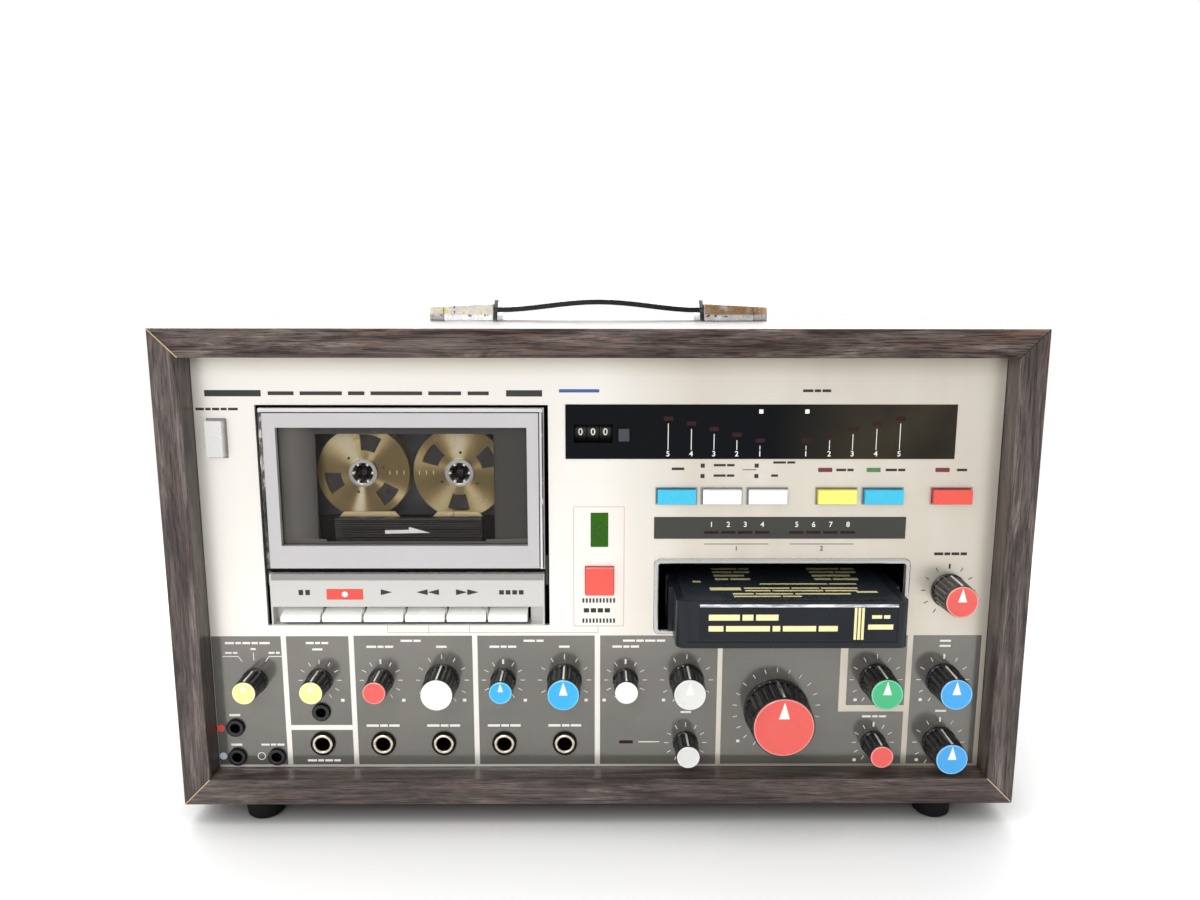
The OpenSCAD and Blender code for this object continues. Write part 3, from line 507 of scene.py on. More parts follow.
class Build:
    """Collects solids in u, v, d millimetres and makes one piece of them."""

    def __init__(self):
        self.bm = bmesh.new()

    def sheet(self, outline, holes, d0, d1):
        """A flat sheet from d0 back to d1 with round holes [(u, v, r)] in its (u, v) outline."""
        rings = [outline] + [[turned(u, v, r, 2 * pi * i / 32) for i in range(32)] for u, v, r in holes]
        edges = []
        for ring in rings:
            vs = [self.bm.verts.new(at(u, v, d0)) for u, v in ring]
            edges += [self.bm.edges.new((vs[i], vs[(i + 1) % len(vs)])) for i in range(len(vs))]
        faces = [f for f in bmesh.ops.triangle_fill(self.bm, use_beauty=True, edges=edges)["geom"]
                 if isinstance(f, bmesh.types.BMFace)]
        new = bmesh.ops.extrude_face_region(self.bm, geom=faces)["geom"]
        shift = Vector((0, (d1 - d0) / 1000, 0))
        bmesh.ops.translate(self.bm, vec=shift, verts=[v for v in new if isinstance(v, bmesh.types.BMVert)])
        return self

    def prism(self, pts, d0, d1):
        """(u, v) outline between two depths."""
        lo = [self.bm.verts.new(at(u, v, d0)) for u, v in pts]
        hi = [self.bm.verts.new(at(u, v, d1)) for u, v in pts]
        self.bm.faces.new(lo)
        self.bm.faces.new(hi[::-1])
        self.skin(hi, lo)
        return self

    def skin(self, a, b):
        """Quads from one ring of vertices to the next."""
        for i in range(len(a)):
            j = (i + 1) % len(a)
            self.bm.faces.new((a[i], a[j], b[j], b[i]))

    def box(self, u0, v0, u1, v1, d0, d1):
        return self.prism([(u0, v0), (u1, v0), (u1, v1), (u0, v1)], d0, d1)

    def line(self, a, b, w, d0, d1):
        ax, ay = a
        bx, by = b
        k = hypot(bx - ax, by - ay)
        nx, ny = -(by - ay) / k * w / 2, (bx - ax) / k * w / 2
        return self.prism([(ax - nx, ay - ny), (bx - nx, by - ny), (bx + nx, by + ny), (ax + nx, ay + ny)], d0, d1)

    def disc(self, u, v, r, d0, d1, n=40):
        return self.prism([turned(u, v, r, 2 * pi * i / n) for i in range(n)], d0, d1)

    def lathe(self, u, v, profile, n=64, wobble=None, close=False):
        """profile is [(radius, depth)], turned about the panel's normal at (u, v)."""
        rows = []
        for k, (r, d) in enumerate(profile):
            angles = [2 * pi * i / n for i in range(n)]
            rows.append([self.bm.verts.new(at(*turned(u, v, r * (wobble(a, k) if wobble else 1), a), d))
                         for a in angles])
        for a, b in zip(rows, rows[1:] + rows[:1] * close):
            self.skin(a, b)
        for row in () if close else (rows[0], rows[-1]):
            if len({tuple(round(c, 7) for c in v.co) for v in row}) > 2:
                self.bm.faces.new(row)
        return self

    def make(self, name, look, slot=None, body="cabinet", bevel=0.0, segments=2, smooth=False):
        bmesh.ops.recalc_face_normals(self.bm, faces=self.bm.faces)
        mesh = bpy.data.meshes.new(name)
        self.bm.to_mesh(mesh)
        self.bm.free()
        obj = placed(name, mesh)
        mesh.materials.append(M[look])
        if bevel:
            b = obj.modifiers.new("round", "BEVEL")
            b.width = bevel / 1000
            b.segments = segments
            b.limit_method = "ANGLE"
            b.angle_limit = radians(35)
        if smooth:
            for p in mesh.polygons:
                p.use_smooth = True
            mesh.set_sharp_from_angle(angle=radians(35))
        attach(obj, body)
        return obj


FIGURE_DEPTH = 0.05
FIGURE_WEIGHT = 0.012


def figures(name, items, look, body, size, d):
    """Plain figures: items is [(text, u, v)], each centred on its place."""
    whole = bmesh.new()
    for text, u, v in items:
        curve = bpy.data.curves.new("figure", "FONT")
        curve.body = text
        curve.size = size / 1000
        curve.extrude = FIGURE_DEPTH / 2000
        curve.offset = size * FIGURE_WEIGHT / 1000
        curve.align_x = "CENTER"
        curve.align_y = "CENTER"
        tmp = placed("figure", curve)
        bpy.context.view_layer.update()
        mesh = bpy.data.meshes.new_from_object(tmp.evaluated_get(bpy.context.evaluated_depsgraph_get()))
        mesh.transform(Matrix.Translation(at(u, v, d)) @ Matrix.Rotation(radians(90), 4, "X"))
        whole.from_mesh(mesh)
        bpy.data.objects.remove(tmp)
        bpy.data.curves.remove(curve)
        bpy.data.meshes.remove(mesh)
    mesh = bpy.data.meshes.new(name)
    whole.to_mesh(mesh)
    whole.free()
    obj = placed(name, mesh)
    mesh.materials.clear()
    mesh.materials.append(M[look])
    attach(obj, body)


# ---------------------------------------------------------------- printing on the panel

# heights of the two rows of knobs, first column and step of the columns
UP, LOW, COL, STEP = 54.3, 23.9, 60.05, 27.55


def col(i):
    return COL + i * STEP


FIELDS = [(12.35, 13.4, 43.5, 75.2), (45.8, 32.7, 73.7, 75.2), (45.8, 13.4, 73.7, 30.3), (76, 13.4, 129, 75.4),
          (131.3, 13.4, 183.9, 75.4), (186.3, 13.4, 239.2, 75.4), (326.9, 13.4, 357.6, 75.4)]
INK = -0.05  # front of the printed fields; marks on them stand twice as far out
# [u, v, bore radius, nut radius]
JACKS = [(20.8, 31.7, 1.8, 4.1), (20.8, 17.5, 1.8, 4.1), (38.8, 17.5, 1.3, 4.1), (col(0), 39.2, 1.8, 4.1)]
JACKS += [(col(i), LOW, 3.2, 5.5) for i in range(5)]
fields = Build()
for a, b, c, d in FIELDS:
    inside = [(u, v, R - 0.5) for u, v, r, R in JACKS if a < u < c and b < v < d]
    fields.sheet([(a, b), (c, b), (c, d), (a, d)], inside, INK, 0.0)
fields.prism([(241.4, 13.4), (324.4, 13.4), (324.4, 38.9), (294.6, 38.9), (294.6, 75.4), (241.4, 75.4)], INK, 0.0)
fields.box(298, 42, 324.4, 75.4, INK, 0.0)
fields.make("printed_fields", "print_grey", "silver_panel")

# body radius at the panel, length, gap to the ticks, flutes and their depth, width of the line, scale of the mark
KINDS = {"small": (5.5, 14, 2.2, 18, 0.055, 0.7, 0.62), "medium": (7.6, 16.2, 2.4, 24, 0.045, 0.75, 1.0),
         "large": (14.6, 17.8, 3.4, 30, 0.045, 0.8, 1.25)}
# [name, u, v, kind, cap colour]
KNOBS = [("mode_knob", 30.9, UP, "small", "yellow"), ("earphone_knob", col(0), UP, "small", "yellow"),
         ("mic1_pan_knob", col(1), UP, "small", "red"), ("mic1_volume_knob", col(2), UP, "medium", "white"),
         ("mic2_pan_knob", col(3), UP, "small", "sky"), ("mic2_volume_knob", col(4), UP, "medium", "sky"),
         ("wireless_pan_knob", col(5), UP, "small", "white"), ("wireless_volume_knob", col(6), UP, "medium", "pale"),
         ("tuning_knob", col(6), LOW, "small", "pale"), ("master_volume_knob", 266.4, 39.9, "large", "red"),
         ("echo_knob", 311.2, UP, "medium", "green"), ("balance_knob", 311.2, LOW, "small", "red"),
         ("treble_knob", 341.4, UP, "medium", "blue"), ("bass_knob", 341.4, LOW, "medium", "blue"),
         ("tape_speed_knob", 341.0, 96.4, "medium", "red")]

ticks_white, ticks_black = Build(), Build()
for name, u, v, kind, cap in KNOBS:
    if name == "mode_knob":
        continue
    b = ticks_black if name == "tape_speed_knob" else ticks_white
    n = 19 if kind == "large" else 11
    r0 = KINDS[kind][0] + KINDS[kind][2]
    pan = name.endswith("pan_knob") or name in ("balance_knob", "treble_knob", "bass_knob", "tape_speed_knob")
    for i in range(n):
        a = radians(90 - 150 + 300 * i / (n - 1))
        mid = i == n // 2
        b.line(turned(u, v, r0, a), turned(u, v, r0 + (2.2 if mid else 2.0), a), 0.8 if mid and pan else 0.32,
               INK * 2, 0.0)
# the three positions of the mode switch
u, v = 30.9, UP
ticks_white.line((u, v + 9.5), (u, v + 13.2), 0.35, INK * 2, 0.0)
for s in (-1, 1):
    ticks_white.line((u + s * 5.2, v + 9.0), (u + s * 6.9, v + 11.4), 0.35, INK * 2, 0.0)
    ticks_white.line((u + s * 6.8, v + 11.4), (u + s * 14.0, v + 11.4), 0.35, INK * 2, 0.0)


def word(b, u, v, w, h, parts):
    """A plain dashed bar, of long and short dashes, where the real one has a printed word."""
    gap, share = 0.6, [(1.0, 0.62, 0.85, 0.7, 1.15)[i % 5] for i in range(parts)]
    unit = (w - gap * (parts - 1)) / sum(share)
    x, h = u - w / 2, h * 0.78
    for k in share:
        b.box(x, v - h / 2, x + k * unit, v + h / 2, INK * 2, 0.0)
        x += k * unit + gap


# [u, v, width, height, dashes]
for item in [
    (28.5, 72.0, 20, 1.3, 5), (30.9, 69.2, 2.2, 1.2, 1), (21, 67.4, 5.5, 1.1, 2), (40.2, 67.4, 5.0, 1.1, 2),
    (59.6, 72.0, 10, 1.3, 3), (59.6, 69.0, 4.6, 1.2, 1), (101.5, 73.0, 9, 1.3, 2), (col(1), 70.2, 12, 1.3, 3),
    (col(2), 70.2, 4.8, 1.3, 1), (156.5, 73.0, 9, 1.3, 2), (col(3), 70.2, 12, 1.3, 3), (col(4), 70.2, 4.8, 1.3, 1),
    (206, 73.0, 19, 1.3, 4), (col(5), 70.2, 12, 1.3, 3), (col(6), 70.2, 4.8, 1.3, 1), (col(6), 38.8, 4.8, 1.2, 1),
    (268, 71.0, 17, 1.3, 4), (311.2, 71.4, 8, 1.3, 2), (311.2, 36.6, 11, 1.2, 3), (341.4, 72.8, 5, 1.2, 1),
    (341.4, 70.4, 5, 1.2, 1), (341.4, 39.2, 5, 1.2, 1), (20.6, 37.6, 5, 1.3, 1), (20.6, 23.2, 5, 1.3, 1),
    (37.0, 23.2, 10.5, 1.2, 3), (col(0), 15.4, 15, 1.3, 4)]:
    word(ticks_white, *item)
for i in (1, 2, 3, 4):
    word(ticks_white, col(i), 32.4, 15, 1.4, 3)
for i in range(3):
    ticks_white.box(col(i) + 9.0, 44.0, col(i) + 10.6, 45.4, INK * 2, 0)
for u, v in ((col(3) + 9, 44), (col(4) + 9, 44), (col(5) - 10.4, 44), (248.6, 24), (col(6) - 11, 44), (301.4, 44),
             (302.4, 14.6), (331.0, 44), (331, 14.6)):
    ticks_white.box(u, v, u + 1.5, v + 1.3, INK * 2, 0)
ticks_white.line((197.8 + 6, 24.3), (213.4, 24.3), 0.45, INK * 2, 0)
ticks_white.make("white_marks", "ink_white", "silver_panel")

# [u, v, width, height, dashes]
for item in [
    (341, 113.2, 14.5, 1.6, 4), (279, 185.4, 12, 1.5, 3), (220, 151.4, 5.4, 1.4, 1), (240, 153.0, 9.0, 1.3, 2),
    (240, 148.4, 9.0, 1.3, 2), (266, 154.2, 9.5, 1.2, 2), (262, 148.4, 3, 1.3, 1), (292.5, 150.9, 7.5, 1.4, 2),
    (314.5, 150.9, 8.5, 1.4, 2), (343.5, 150.9, 4.4, 1.4, 1), (22.2, 177.4, 18, 1.4, 5)]:
    word(ticks_black, *item)
for u, w, h in ((17.4, 24.0, 2.7), (44.4, 11.0, 1.6), (58.0, 18.0, 1.6), (78.6, 7.0, 1.6), (88.2, 22.0, 1.6),
                (112.8, 14.0, 1.6), (129.6, 9.0, 1.6), (146.0, 15.4, 2.7)):
    ticks_black.box(u, 184.2 - h / 2, u + w, 184.2 + h / 2, INK * 2, 0)
for a, b, v in ((232.1, 260.4, 117.7), (269.7, 298, 117.7), (248, 254, 151.0)):
    ticks_black.line((a, v), (b, v), 0.3, INK, 0)
for u in (229.8, 253.2):
    for v in (152.8, 148.2):
        ticks_black.box(u, v - 0.9, u + 1.8, v + 0.9, INK, 0)
for k in range(10):
    u = 178.4 + k * 1.52
    for v in (91.8, 82.4):
        ticks_black.box(u, v - 1.0, u + 0.85, v + 1.0, INK, 0)
for k in range(4):
    ticks_black.box(179 + k * 3.1, 86.2, 181.4 + k * 3.1, 88.2, INK, 0)
ticks_black.make("black_marks", "ink_black", "silver_panel")
figures("channel_letters", [("1", 246.2, 115.6), ("2", 283.8, 115.6)], "ink_black", "cabinet", 3.0, -0.05)

pink = Build()
for a, b in (((174.6, 79.9), (196.8, 79.9)), ((196.8, 79.9), (196.8, 134.5)), ((196.8, 134.5), (174.6, 134.5)),
             ((174.6, 134.5), (174.6, 79.9)), ((91.5, 80.2), (91.5, 76.7)), ((109.8, 80.2), (109.8, 76.7)),
             ((128, 80.2), (128, 76.7)), ((91.5, 76.8), (185.4, 76.8)), ((185.4, 76.8), (185.4, 79.9))):
    pink.line(a, b, 0.32, INK, 0)
pink.make("thin_lines", "ink_pink", "silver_panel")

Build().box(168.6, 184.6, 185.8, 186.0, INK * 2, 0).make("blue_bar", "ink_deep_blue", "silver_panel")
Build().disc(13.9, 31.2, 1.7, INK * 2, 0).make("dot_red", "ink_red", "silver_panel")
Build().disc(14.1, 17.6, 1.7, INK * 2, 0).make("dot_blue", "ink_blue", "silver_panel")
Build().lathe(31.6, 17.6, [(1.85, INK * 2), (1.5, INK * 2), (1.5, 0), (1.85, 0)], 48, close=True).make(
    "dot_ring", "ink_white", "silver_panel")

Build().box(280.9, 150.0, 287.0, 151.8, -0.35, 0).box(331.9, 150.0, 338.0, 151.8, -0.35, 0).make(
    "led_bars_red", "led_red", bevel=0.15)
Build().box(302.0, 150.0, 308.0, 151.8, -0.35, 0).make("led_bar_green", "led_green", bevel=0.15)
Build().box(195.1, 23.6, 201.3, 25.0, -0.35, 0).make("led_bar_tuning", "led_dark", bevel=0.15)

# ---------------------------------------------------------------- windows

W = -0.4  # front of the dark windows
marks = Build()
# top of the line and middle of the lamp, from level 5 to level 1
LEVELS = ((171.3, 173.4), (168.9, 171.3), (166.7, 168.9), (164, 166.4), (161.6, 163.9))
lamps = Build()
labels = []
for us in ((215.5, 225.5, 235.3, 245.2, 255.2), (315.5, 305.4, 295.2, 285.2, 275.1)):
    for k, (u, (top, lamp)) in enumerate(zip(us, LEVELS)):
        marks.line((u, 159.8), (u, top), 0.3, W - 0.05, W)
        lamps.box(u - 2.0, lamp - 0.9, u + 2.0, lamp + 0.9, W - 0.04, W)
        labels.append((str(5 - k), u, 158.0))
marks.box(254.4, 175.6, 256.2, 177.4, W - 0.05, W)
marks.box(274.2, 175.6, 276.0, 177.4, W - 0.05, W)
marks.make("level_lines", "ink_white", "window_black")
lamps.make("level_lamps", "led_dark", "window_black")
figures("level_numbers", labels, "ink_white", "cabinet", 3.3, W - 0.03)
Build().box(210.0, 120.2, 320.3, 129.8, W - 0.06, W).make("channel_strip", "strip", "window_black")
bars = Build()
digits = []
for k, u in enumerate((235, 242.4, 249.8, 257.3, 272.4, 279.8, 287.3, 294.9)):
    digits.append((str(k + 1), u, 126.6))
    bars.box(u - 3.15, 122.5, u + 3.15, 123.7, W - 0.2, W)
figures("channel_numbers", digits, "ink_white", "cabinet", 3.3, W - 0.1)
bars.make("channel_lamps", "led_dark", "window_black")
Build().box(182.3, 116.6, 189.6, 131.6, W - 0.06, W).make("number_window", "digit_green", "window_black")
seg = Build()
# middle, width and half height of the digit, and its slant
su, sv, sw, sh, slant = 185.7, 124.1, 3.0, 3.3, 0.12
for k in (-1, 0, 1):
    y = sv + k * sh
    seg.line((su - sw / 2 + 0.4 + slant * k * sh, y), (su + sw / 2 - 0.4 + slant * k * sh, y), 0.62, W - 0.11, W)
for s in (-1, 1):
    for k in (-1, 1):
        seg.line((su + s * sw / 2 + slant * k * 0.4, sv + k * 0.45),
                 (su + s * sw / 2 + slant * k * (sh - 0.4), sv + k * (sh - 0.45)),
                 0.62, W - 0.11, W)
seg.box(188.0, 120.4, 188.7, 121.1, W - 0.11, W)
seg.make("number_segments", "segment", "window_black")

# ---------------------------------------------------------------- knobs


def knob(name, u, v, kind, cap):
    r, length, _, flutes, depth, w, scale = KINDS[kind]
    tip, cap_r, front = r * 0.945, r * 0.90, -length

    def wobble(a, k):
        return 1.0 if k < 2 or k > 5 else 1.0 - depth * (0.5 + 0.5 * cos(a * flutes)) ** 0.6

    def ring(points, close=False):
        """A lathe whose radii are counted from the cap's and whose depths from the knob's front."""
        return Build().lathe(u, v, [(cap_r + dr, front + d) for dr, d in points], 64, close=close)

    b = Build()
    b.lathe(u, v, [(r + 0.25, -0.45), (r + 0.25, -1.7), (r, -2.0), (r * 0.99, -length * 0.4),
                   (r * 0.965, -length * 0.75), (tip, front + 1.1), (tip - 0.1, front + 0.7), (cap_r, front + 0.55),
                   (cap_r - 1.2, front + 0.5)], flutes * 8, wobble)
    b.lathe(u, v, [(3.0, -0.5), (3.0, 8.8)], 32)
    body = b.make(name + "_body", "knob", "knob_black", name, smooth=True)
    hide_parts(name)
    ring([(-0.05, 0.62), (-0.05, 0.25), (-0.25, 0.08), (-0.55, 0.1), (-0.7, 0.16), (-cap_r * 0.5, 0.1),
          (0.02 - cap_r, 0.06)]).make(name + "_cap", "cap_" + cap, "knob_black", name, smooth=True)
    # the rim round the cap, in a lighter copy of the cap's colour: painted light
    ring([(0.02, 0.5), (0.02, 0.2), (-0.3, 0.02), (-0.5, 0.08), (-0.5, 0.5)], True).make(
        name + "_rim", "rim_" + cap, "knob_black", name, smooth=True)
    line = Build()
    foot, top = (r * 0.93, r * 0.985 + 0.06, -2.4), (tip * 0.95, tip + 0.06, front + 1.2)
    corners = [(u - w / 2, foot), (u + w / 2, foot), (u + w / 2, top), (u - w / 2, top)]
    lo = [line.bm.verts.new(at(x, v + inner, d)) for x, (inner, outer, d) in corners]
    hi = [line.bm.verts.new(at(x, v + outer, d)) for x, (inner, outer, d) in corners]
    line.bm.faces.new(lo)
    line.bm.faces.new(hi)
    line.skin(lo, hi)
    line.make(name + "_line", "ink_white", "knob_black", name)
    if kind != "small" and name != "mic1_volume_knob" or name in ("mic2_pan_knob", "mode_knob", "earphone_knob"):
        base = v + cap_r * 0.88 - 6.0 * scale
        tri = [(u - 1.9 * scale, base), (u + 1.9 * scale, base), (u, v + cap_r * 0.9)]
        Build().prism(tri, front, front + 0.2).make(name + "_mark", "ink_white", "knob_black", name)


for k in KNOBS:
    knob(*k)

# ---------------------------------------------------------------- buttons

BUTTON_V, BUTTON_HALF, RIM_W = (136, 142.8), 8.6, 0.55
frames = Build()
for u in (219.4, 239.1, 259, 289.1, 309.4, 339.4):
    a, b, c, d, t = u - BUTTON_HALF, BUTTON_V[0], u + BUTTON_HALF, BUTTON_V[1], RIM_W
    for q in ((a - t, b - t, c + t, b), (a - t, d, c + t, d + t), (a - t, b, a, d), (c, b, c + t, d)):
        frames.box(*q, -0.35, 0)
frames.make("button_frames", "frame", "silver_panel", bevel=0.12)
for name in nodes:
    if name.endswith("_button"):
        soften(name, 0.00045)
    elif name.endswith("_key"):
        soften(name, 0.00035)
for width, names in ((0.0003, "cassette_door key_housing cabinet_top cabinet_bottom cabinet_sides"),
                     (0.0005, "slot_bezel handle_strap"), (0.0006, "cartridge handle_end_caps")):
    for name in names.split():
        soften(name, width)

# ---------------------------------------------------------------- jacks

nickel, collar = Build(), Build()
for u, v, r, R in JACKS:
    if R > 5:
        nickel.lathe(u, v, [(4.55, -1.15), (4.5, -1.5), (4.1, -1.78), (3.65, -1.78), (3.35, -1.5), (3.3, -1.1)],
                     close=True)
    else:
        collar.lathe(u, v, [(R - 0.3, -1.15), (R - 0.4, -1.45), (R - 0.9, -1.6), (2.6, -1.6), (2.3, -1.4),
                            (2.25, -1.1)], close=True)
nickel.make("jack_rings", "nickel", "jack_black", smooth=True)
collar.make("jack_collars", "collar", "jack_black", smooth=True)

# ---------------------------------------------------------------- cassette deck

KEY_FACE = -1.0  # front of the key housing
MARK = (KEY_FACE - 0.05, KEY_FACE)
arrows = Build()
for u, s in ((91.8, 1), (107.5, -1), (112.5, -1), (125.0, 1), (130.0, 1)):
    arrows.prism([(u - s * 2.5, 94.65), (u + s * 2.5, 96.0), (u - s * 2.5, 97.35)], *MARK)
arrows.box(53.0, 94.7, 55.0, 97.1, *MARK).box(56.0, 94.7, 58.0, 97.1, *MARK)
for k in range(4):
    arrows.box(141.6 + k * 2.9, 94.9, 143.7 + k * 2.9, 96.9, *MARK)
arrows.make("transport_marks", "ink_black", "housing_silver")
Build().box(65.3, 92.6, 81.5, 97.5, KEY_FACE - 0.06, KEY_FACE).make("record_label", "ink_red", "housing_silver")
Build().disc(73.4, 95.05, 1.3, KEY_FACE - 0.1, KEY_FACE).make("record_mark", "ink_white", "housing_silver")

# the rounded bar along the housing's top, darker than the housing: painted shade
Build().box(41.3, 101.6, 161.2, 104.7, -1.6, -1.0).make(
    "housing_bar", "band", "housing_silver", bevel=0.25, segments=3)

# bright and dark lines of the door's edge, and grey plates between the keys that stand in for their lit sides as
# painted light
Build().box(40.5, 176.5, 161.5, 177.9, -2.8, -2.45).box(160.3, 107.2, 161.6, 176.2, -2.8, -2.45).make(
    "door_trim", "bright", "door_silver", "door", bevel=0.15)
edge_lines = Build()
for q in ((41.2, 176.0, 160.2, 176.4), (159.7, 107.8, 160.1, 176.0), (40.4, 106.5, 161.6, 107.4),
          (40.0, 107.4, 40.6, 177.8)):
    edge_lines.box(*q, -2.56, -2.5)
edge_lines.make("door_lines", "deep_black", "door_silver", "door")
# the door's chrome edges, painted dark with bright flecks: painted reflection and glints
for side, box in (("left", (40.35, 107.4, 41.9, 176.2, -2.62, -2.5)),
                  ("right", (161.1, 107.4, 161.7, 176.2, -2.9, -2.8))):
    Build().box(*box).make("door_edge_" + side, "dark_chrome", "door_silver", "door", bevel=0.04)
ribs = Build()
for k in range(5):
    ribs.box(62.5 + 18.35 * k, 83.2, 63.15 + 18.35 * k, 88.0, -0.6, 2.0)
ribs.make("key_ribs", "rib", "housing_silver", bevel=0.1)

# what shows behind the smoked window
Build().prism([(47.4, 119.8), (62.6, 119.8), (63.2, 169.6), (47.4, 169.6)], 1.1, 1.3).make(
    "window_left_wall", "wall", "smoked_window", "door")
Build().box(141, 120.2, 154.6, 169.6, 1.1, 1.3).box(63.2, 166.5, 141, 169.6, 1.1, 1.3).make(
    "window_mask", "mask", "smoked_window", "door")
Build().prism([(47.4, 117.6), (154.6, 117.6), (154.6, 120.0), (136, 119.6), (136, 118.6), (66, 118.6), (66, 119.6),
               (62.6, 119.8), (47.4, 119.8)], 1.05, 1.25).make("window_ledge", "mask_lit", "smoked_window", "door")
# the cassette's back, whose streaks are painted reflections
Build().sheet([(56, 127), (150, 127), (150, 174.5), (56, 174.5)],
              [(TAPE_U - HUB_STEP, HUB_V, 6.8), (TAPE_U + HUB_STEP, HUB_V, 6.8)], 16.75, 16.85).make(
    "shell_back", "bay", "smoked_window", "door")
Build().prism([(91.2, 121.5), (111.0, 121.9), (101.8, 124.6), (101.8, 123.3), (91.2, 123.1)], 3.35, 3.5).make(
    "direction_arrow", "ink_white", "black_plastic", "door")
bar_ribs = Build()
for k in range(7):
    bar_ribs.box(72.2, 119.6 + 1.18 * k, 135.4, 119.95 + 1.18 * k, 3.42, 3.5)
bar_ribs.make("holder_grooves", "deep_black", "black_plastic", "door")
gold_bits = Build()
for a, b in ((70.4, 97.4), (111.9, 134.2)):
    gold_bits.prism([(a, 128.4), (b, 128.4), (b - 2.2, 130.7), (a + 2.2, 130.7)], 6.9, 7.3)
gold_bits.make("gold_guides", "gold", "reel_gold", "door")
for side, s, turn in (("supply", -1, 134), ("takeup", 1, 87)):
    u = TAPE_U + s * HUB_STEP
    Build().lathe(u, HUB_V, [(6.3, 6.6), (6.3, 6.35), (6.0, 6.15), (4.9, 6.2), (4.6, 6.35), (4.6, 6.9), (4.95, 6.9),
                             (4.95, 6.6)], 64, close=True).make(
        side + "_hub_ring", "hub", "reel_gold", side + "_reel", smooth=True)
    teeth, dots, dashes, back = Build(), Build(), Build(), Build()
    for k in range(6):
        a = radians(60 * k)
        teeth.line(turned(u, HUB_V, 3.7, a), turned(u, HUB_V, 4.8, a), 1.0, 6.45, 9.1)
    teeth.make(side + "_hub_teeth", "tooth", "reel_gold", side + "_reel", bevel=0.1)
    for k in range(3):
        a = radians(turn + 120 * k)
        dots.disc(*turned(u, HUB_V, 9.0, a), 0.6, 7.6, 7.7, 16)
        mid = u - s * (11.6 + 3.1 * k)
        dashes.box(mid - 0.22, HUB_V - 0.9, mid + 0.22, HUB_V + 0.9, 7.6, 7.7)
    dots.make(side + "_reel_dots", "ink_black", "reel_gold", side + "_reel")
    dashes.make(side + "_reel_dashes", "cream", "reel_gold", side + "_reel")
    back.lathe(u, HUB_V, [(17.0, 8.66), (9.6, 8.66), (9.6, 8.69), (17.0, 8.69)], 64, close=True)
    back.make(side + "_reel_pack", "tape", "reel_gold", side + "_reel")

# ---------------------------------------------------------------- counter digits

for place, u in (("hundreds", 177.7), ("tens", 183.1), ("units", 188.5)):
    figures("counter_digit_" + place, [("0", u, 167.0)], "ink_white", f"counter_{place}_wheel", 4.2, 3.26)

# ---------------------------------------------------------------- cartridge label

# middle, underside, front and height of the cartridge
CU, CV, CL, CH = 267.2, 79.0, -24.0, 20.4
face, lid = CL + 0.4, CV + CH
for name, look, box in (
        ("cartridge_labels", "label", (-39.3, CV + 3.6, 43.9, CV + 17.9, face - 0.15, face + 0.05)),
        # the lid's label is lighter than the front one: painted reflection
        ("cartridge_lid_label", "lid", (-45.6, lid - 0.3, 45.6, lid - 0.22, CL + 1.4, CL + 82.0)),
        # the bright streaks along the label's edge are painted highlights
        ("cartridge_label_edge", "edge_label", (-39.3, CV + 18.1, 43.9, CV + 19.3, CL - 0.03, CL + 0.05))):
    Build().box(CU + box[0], box[1], CU + box[2], *box[3:]).make(name, look, "cartridge_black", "cartridge")
cream = Build()


def bars(u, v, widths, h, gap=1.1):
    """A row of bars on the label in front."""
    for w in widths:
        cream.box(CU + u, CV + v, CU + u + w, CV + v + h, face - 0.2, face - 0.14)
        u += w + gap


def row(u, d, widths, t, gap=0.9):
    """A row of flat bars on the cartridge's lid; d is its distance behind the front."""
    for w in widths:
        cream.box(CU + u, lid - 0.23, CU + u + w, lid - 0.17, CL + d, CL + d + t)
        u += w + gap


for k in range(3):
    bars(25.6 + k * 1.55, 3.7, (1.1,), 14.1)
for item in ((-35.5, 12.2, (13.0, 4.6, 9.4), 2.6), (-35.5, 7.4, (6.2, 18.5, 3.2, 14.0, 8.0), 2.4),
             (33.0, 13.0, (4.2, 2.6), 1.5, 0.8), (31.5, 8.2, (10.6,), 2.2)):
    bars(*item)
row(-39.5, 27.0, (3.5,), 2.0)
for k, widths in enumerate(((12, 5), (9, 7.5), (14,), (6, 9))):
    row(-29, 46 - 5.2 * k, widths, 2.4)
    row(16, 46 - 5.2 * k, tuple(w * 1.25 for w in widths), 2.4)
for item in ((-33, 16.0, (13.5,), 3.6), (-18, 18.0, (20, 12, 16), 1.5), (-18, 14.6, (11, 22, 14), 1.5),
             (-24, 10.4, (9, 16, 24), 1.5), (-24, 7.2, (20, 8), 1.3), (-10, 24.0, (30, 12), 1.3),
             (30, 12.6, (9.0,), 2.0)):
    row(*item)
cream.make("cartridge_stripes", "cream", "cartridge_black", "cartridge")

# the guide, whose mouth opens to the bezel and narrows to the cartridge further in
mouth, tube = (211.8, 77.3, 321.7, 109.2), (CU - 51.3, CV, CU + 51.3, CV + CH + 0.8)


def rim(box, d, grow=0.0):
    a, b, c, e = box[0] - grow, box[1] - grow, box[2] + grow, box[3] + grow
    return [guide.bm.verts.new(at(u, v, d)) for u, v in ((a, b), (c, b), (c, e), (a, e))]


guide = Build()
rings = [rim(*item) for item in (
    (mouth, 2.0), (mouth, 27.0), (tube, 33.0), (tube, 113.4), (tube, 115.4, 2.0), (tube, 33.0, 2.0),
    (mouth, 27.0, 1.0), (mouth, 4.0, 1.0), (mouth, 4.0, 2.8), (mouth, 2.0, 2.8))]
for a, b in zip(rings, rings[1:] + rings[:1]):
    if a is rings[3]:
        guide.bm.faces.new(a)
        guide.bm.faces.new(b)
        continue
    guide.skin(a, b)
for u in (CU - 40, CU + 36):
    guide.box(u, 13, u + 4, 77, 85.4, 115.4)
guide = guide.make("guide_throat", "deep_black", "black_plastic")
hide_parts("cartridge_guide")

# ---------------------------------------------------------------- mitre joints

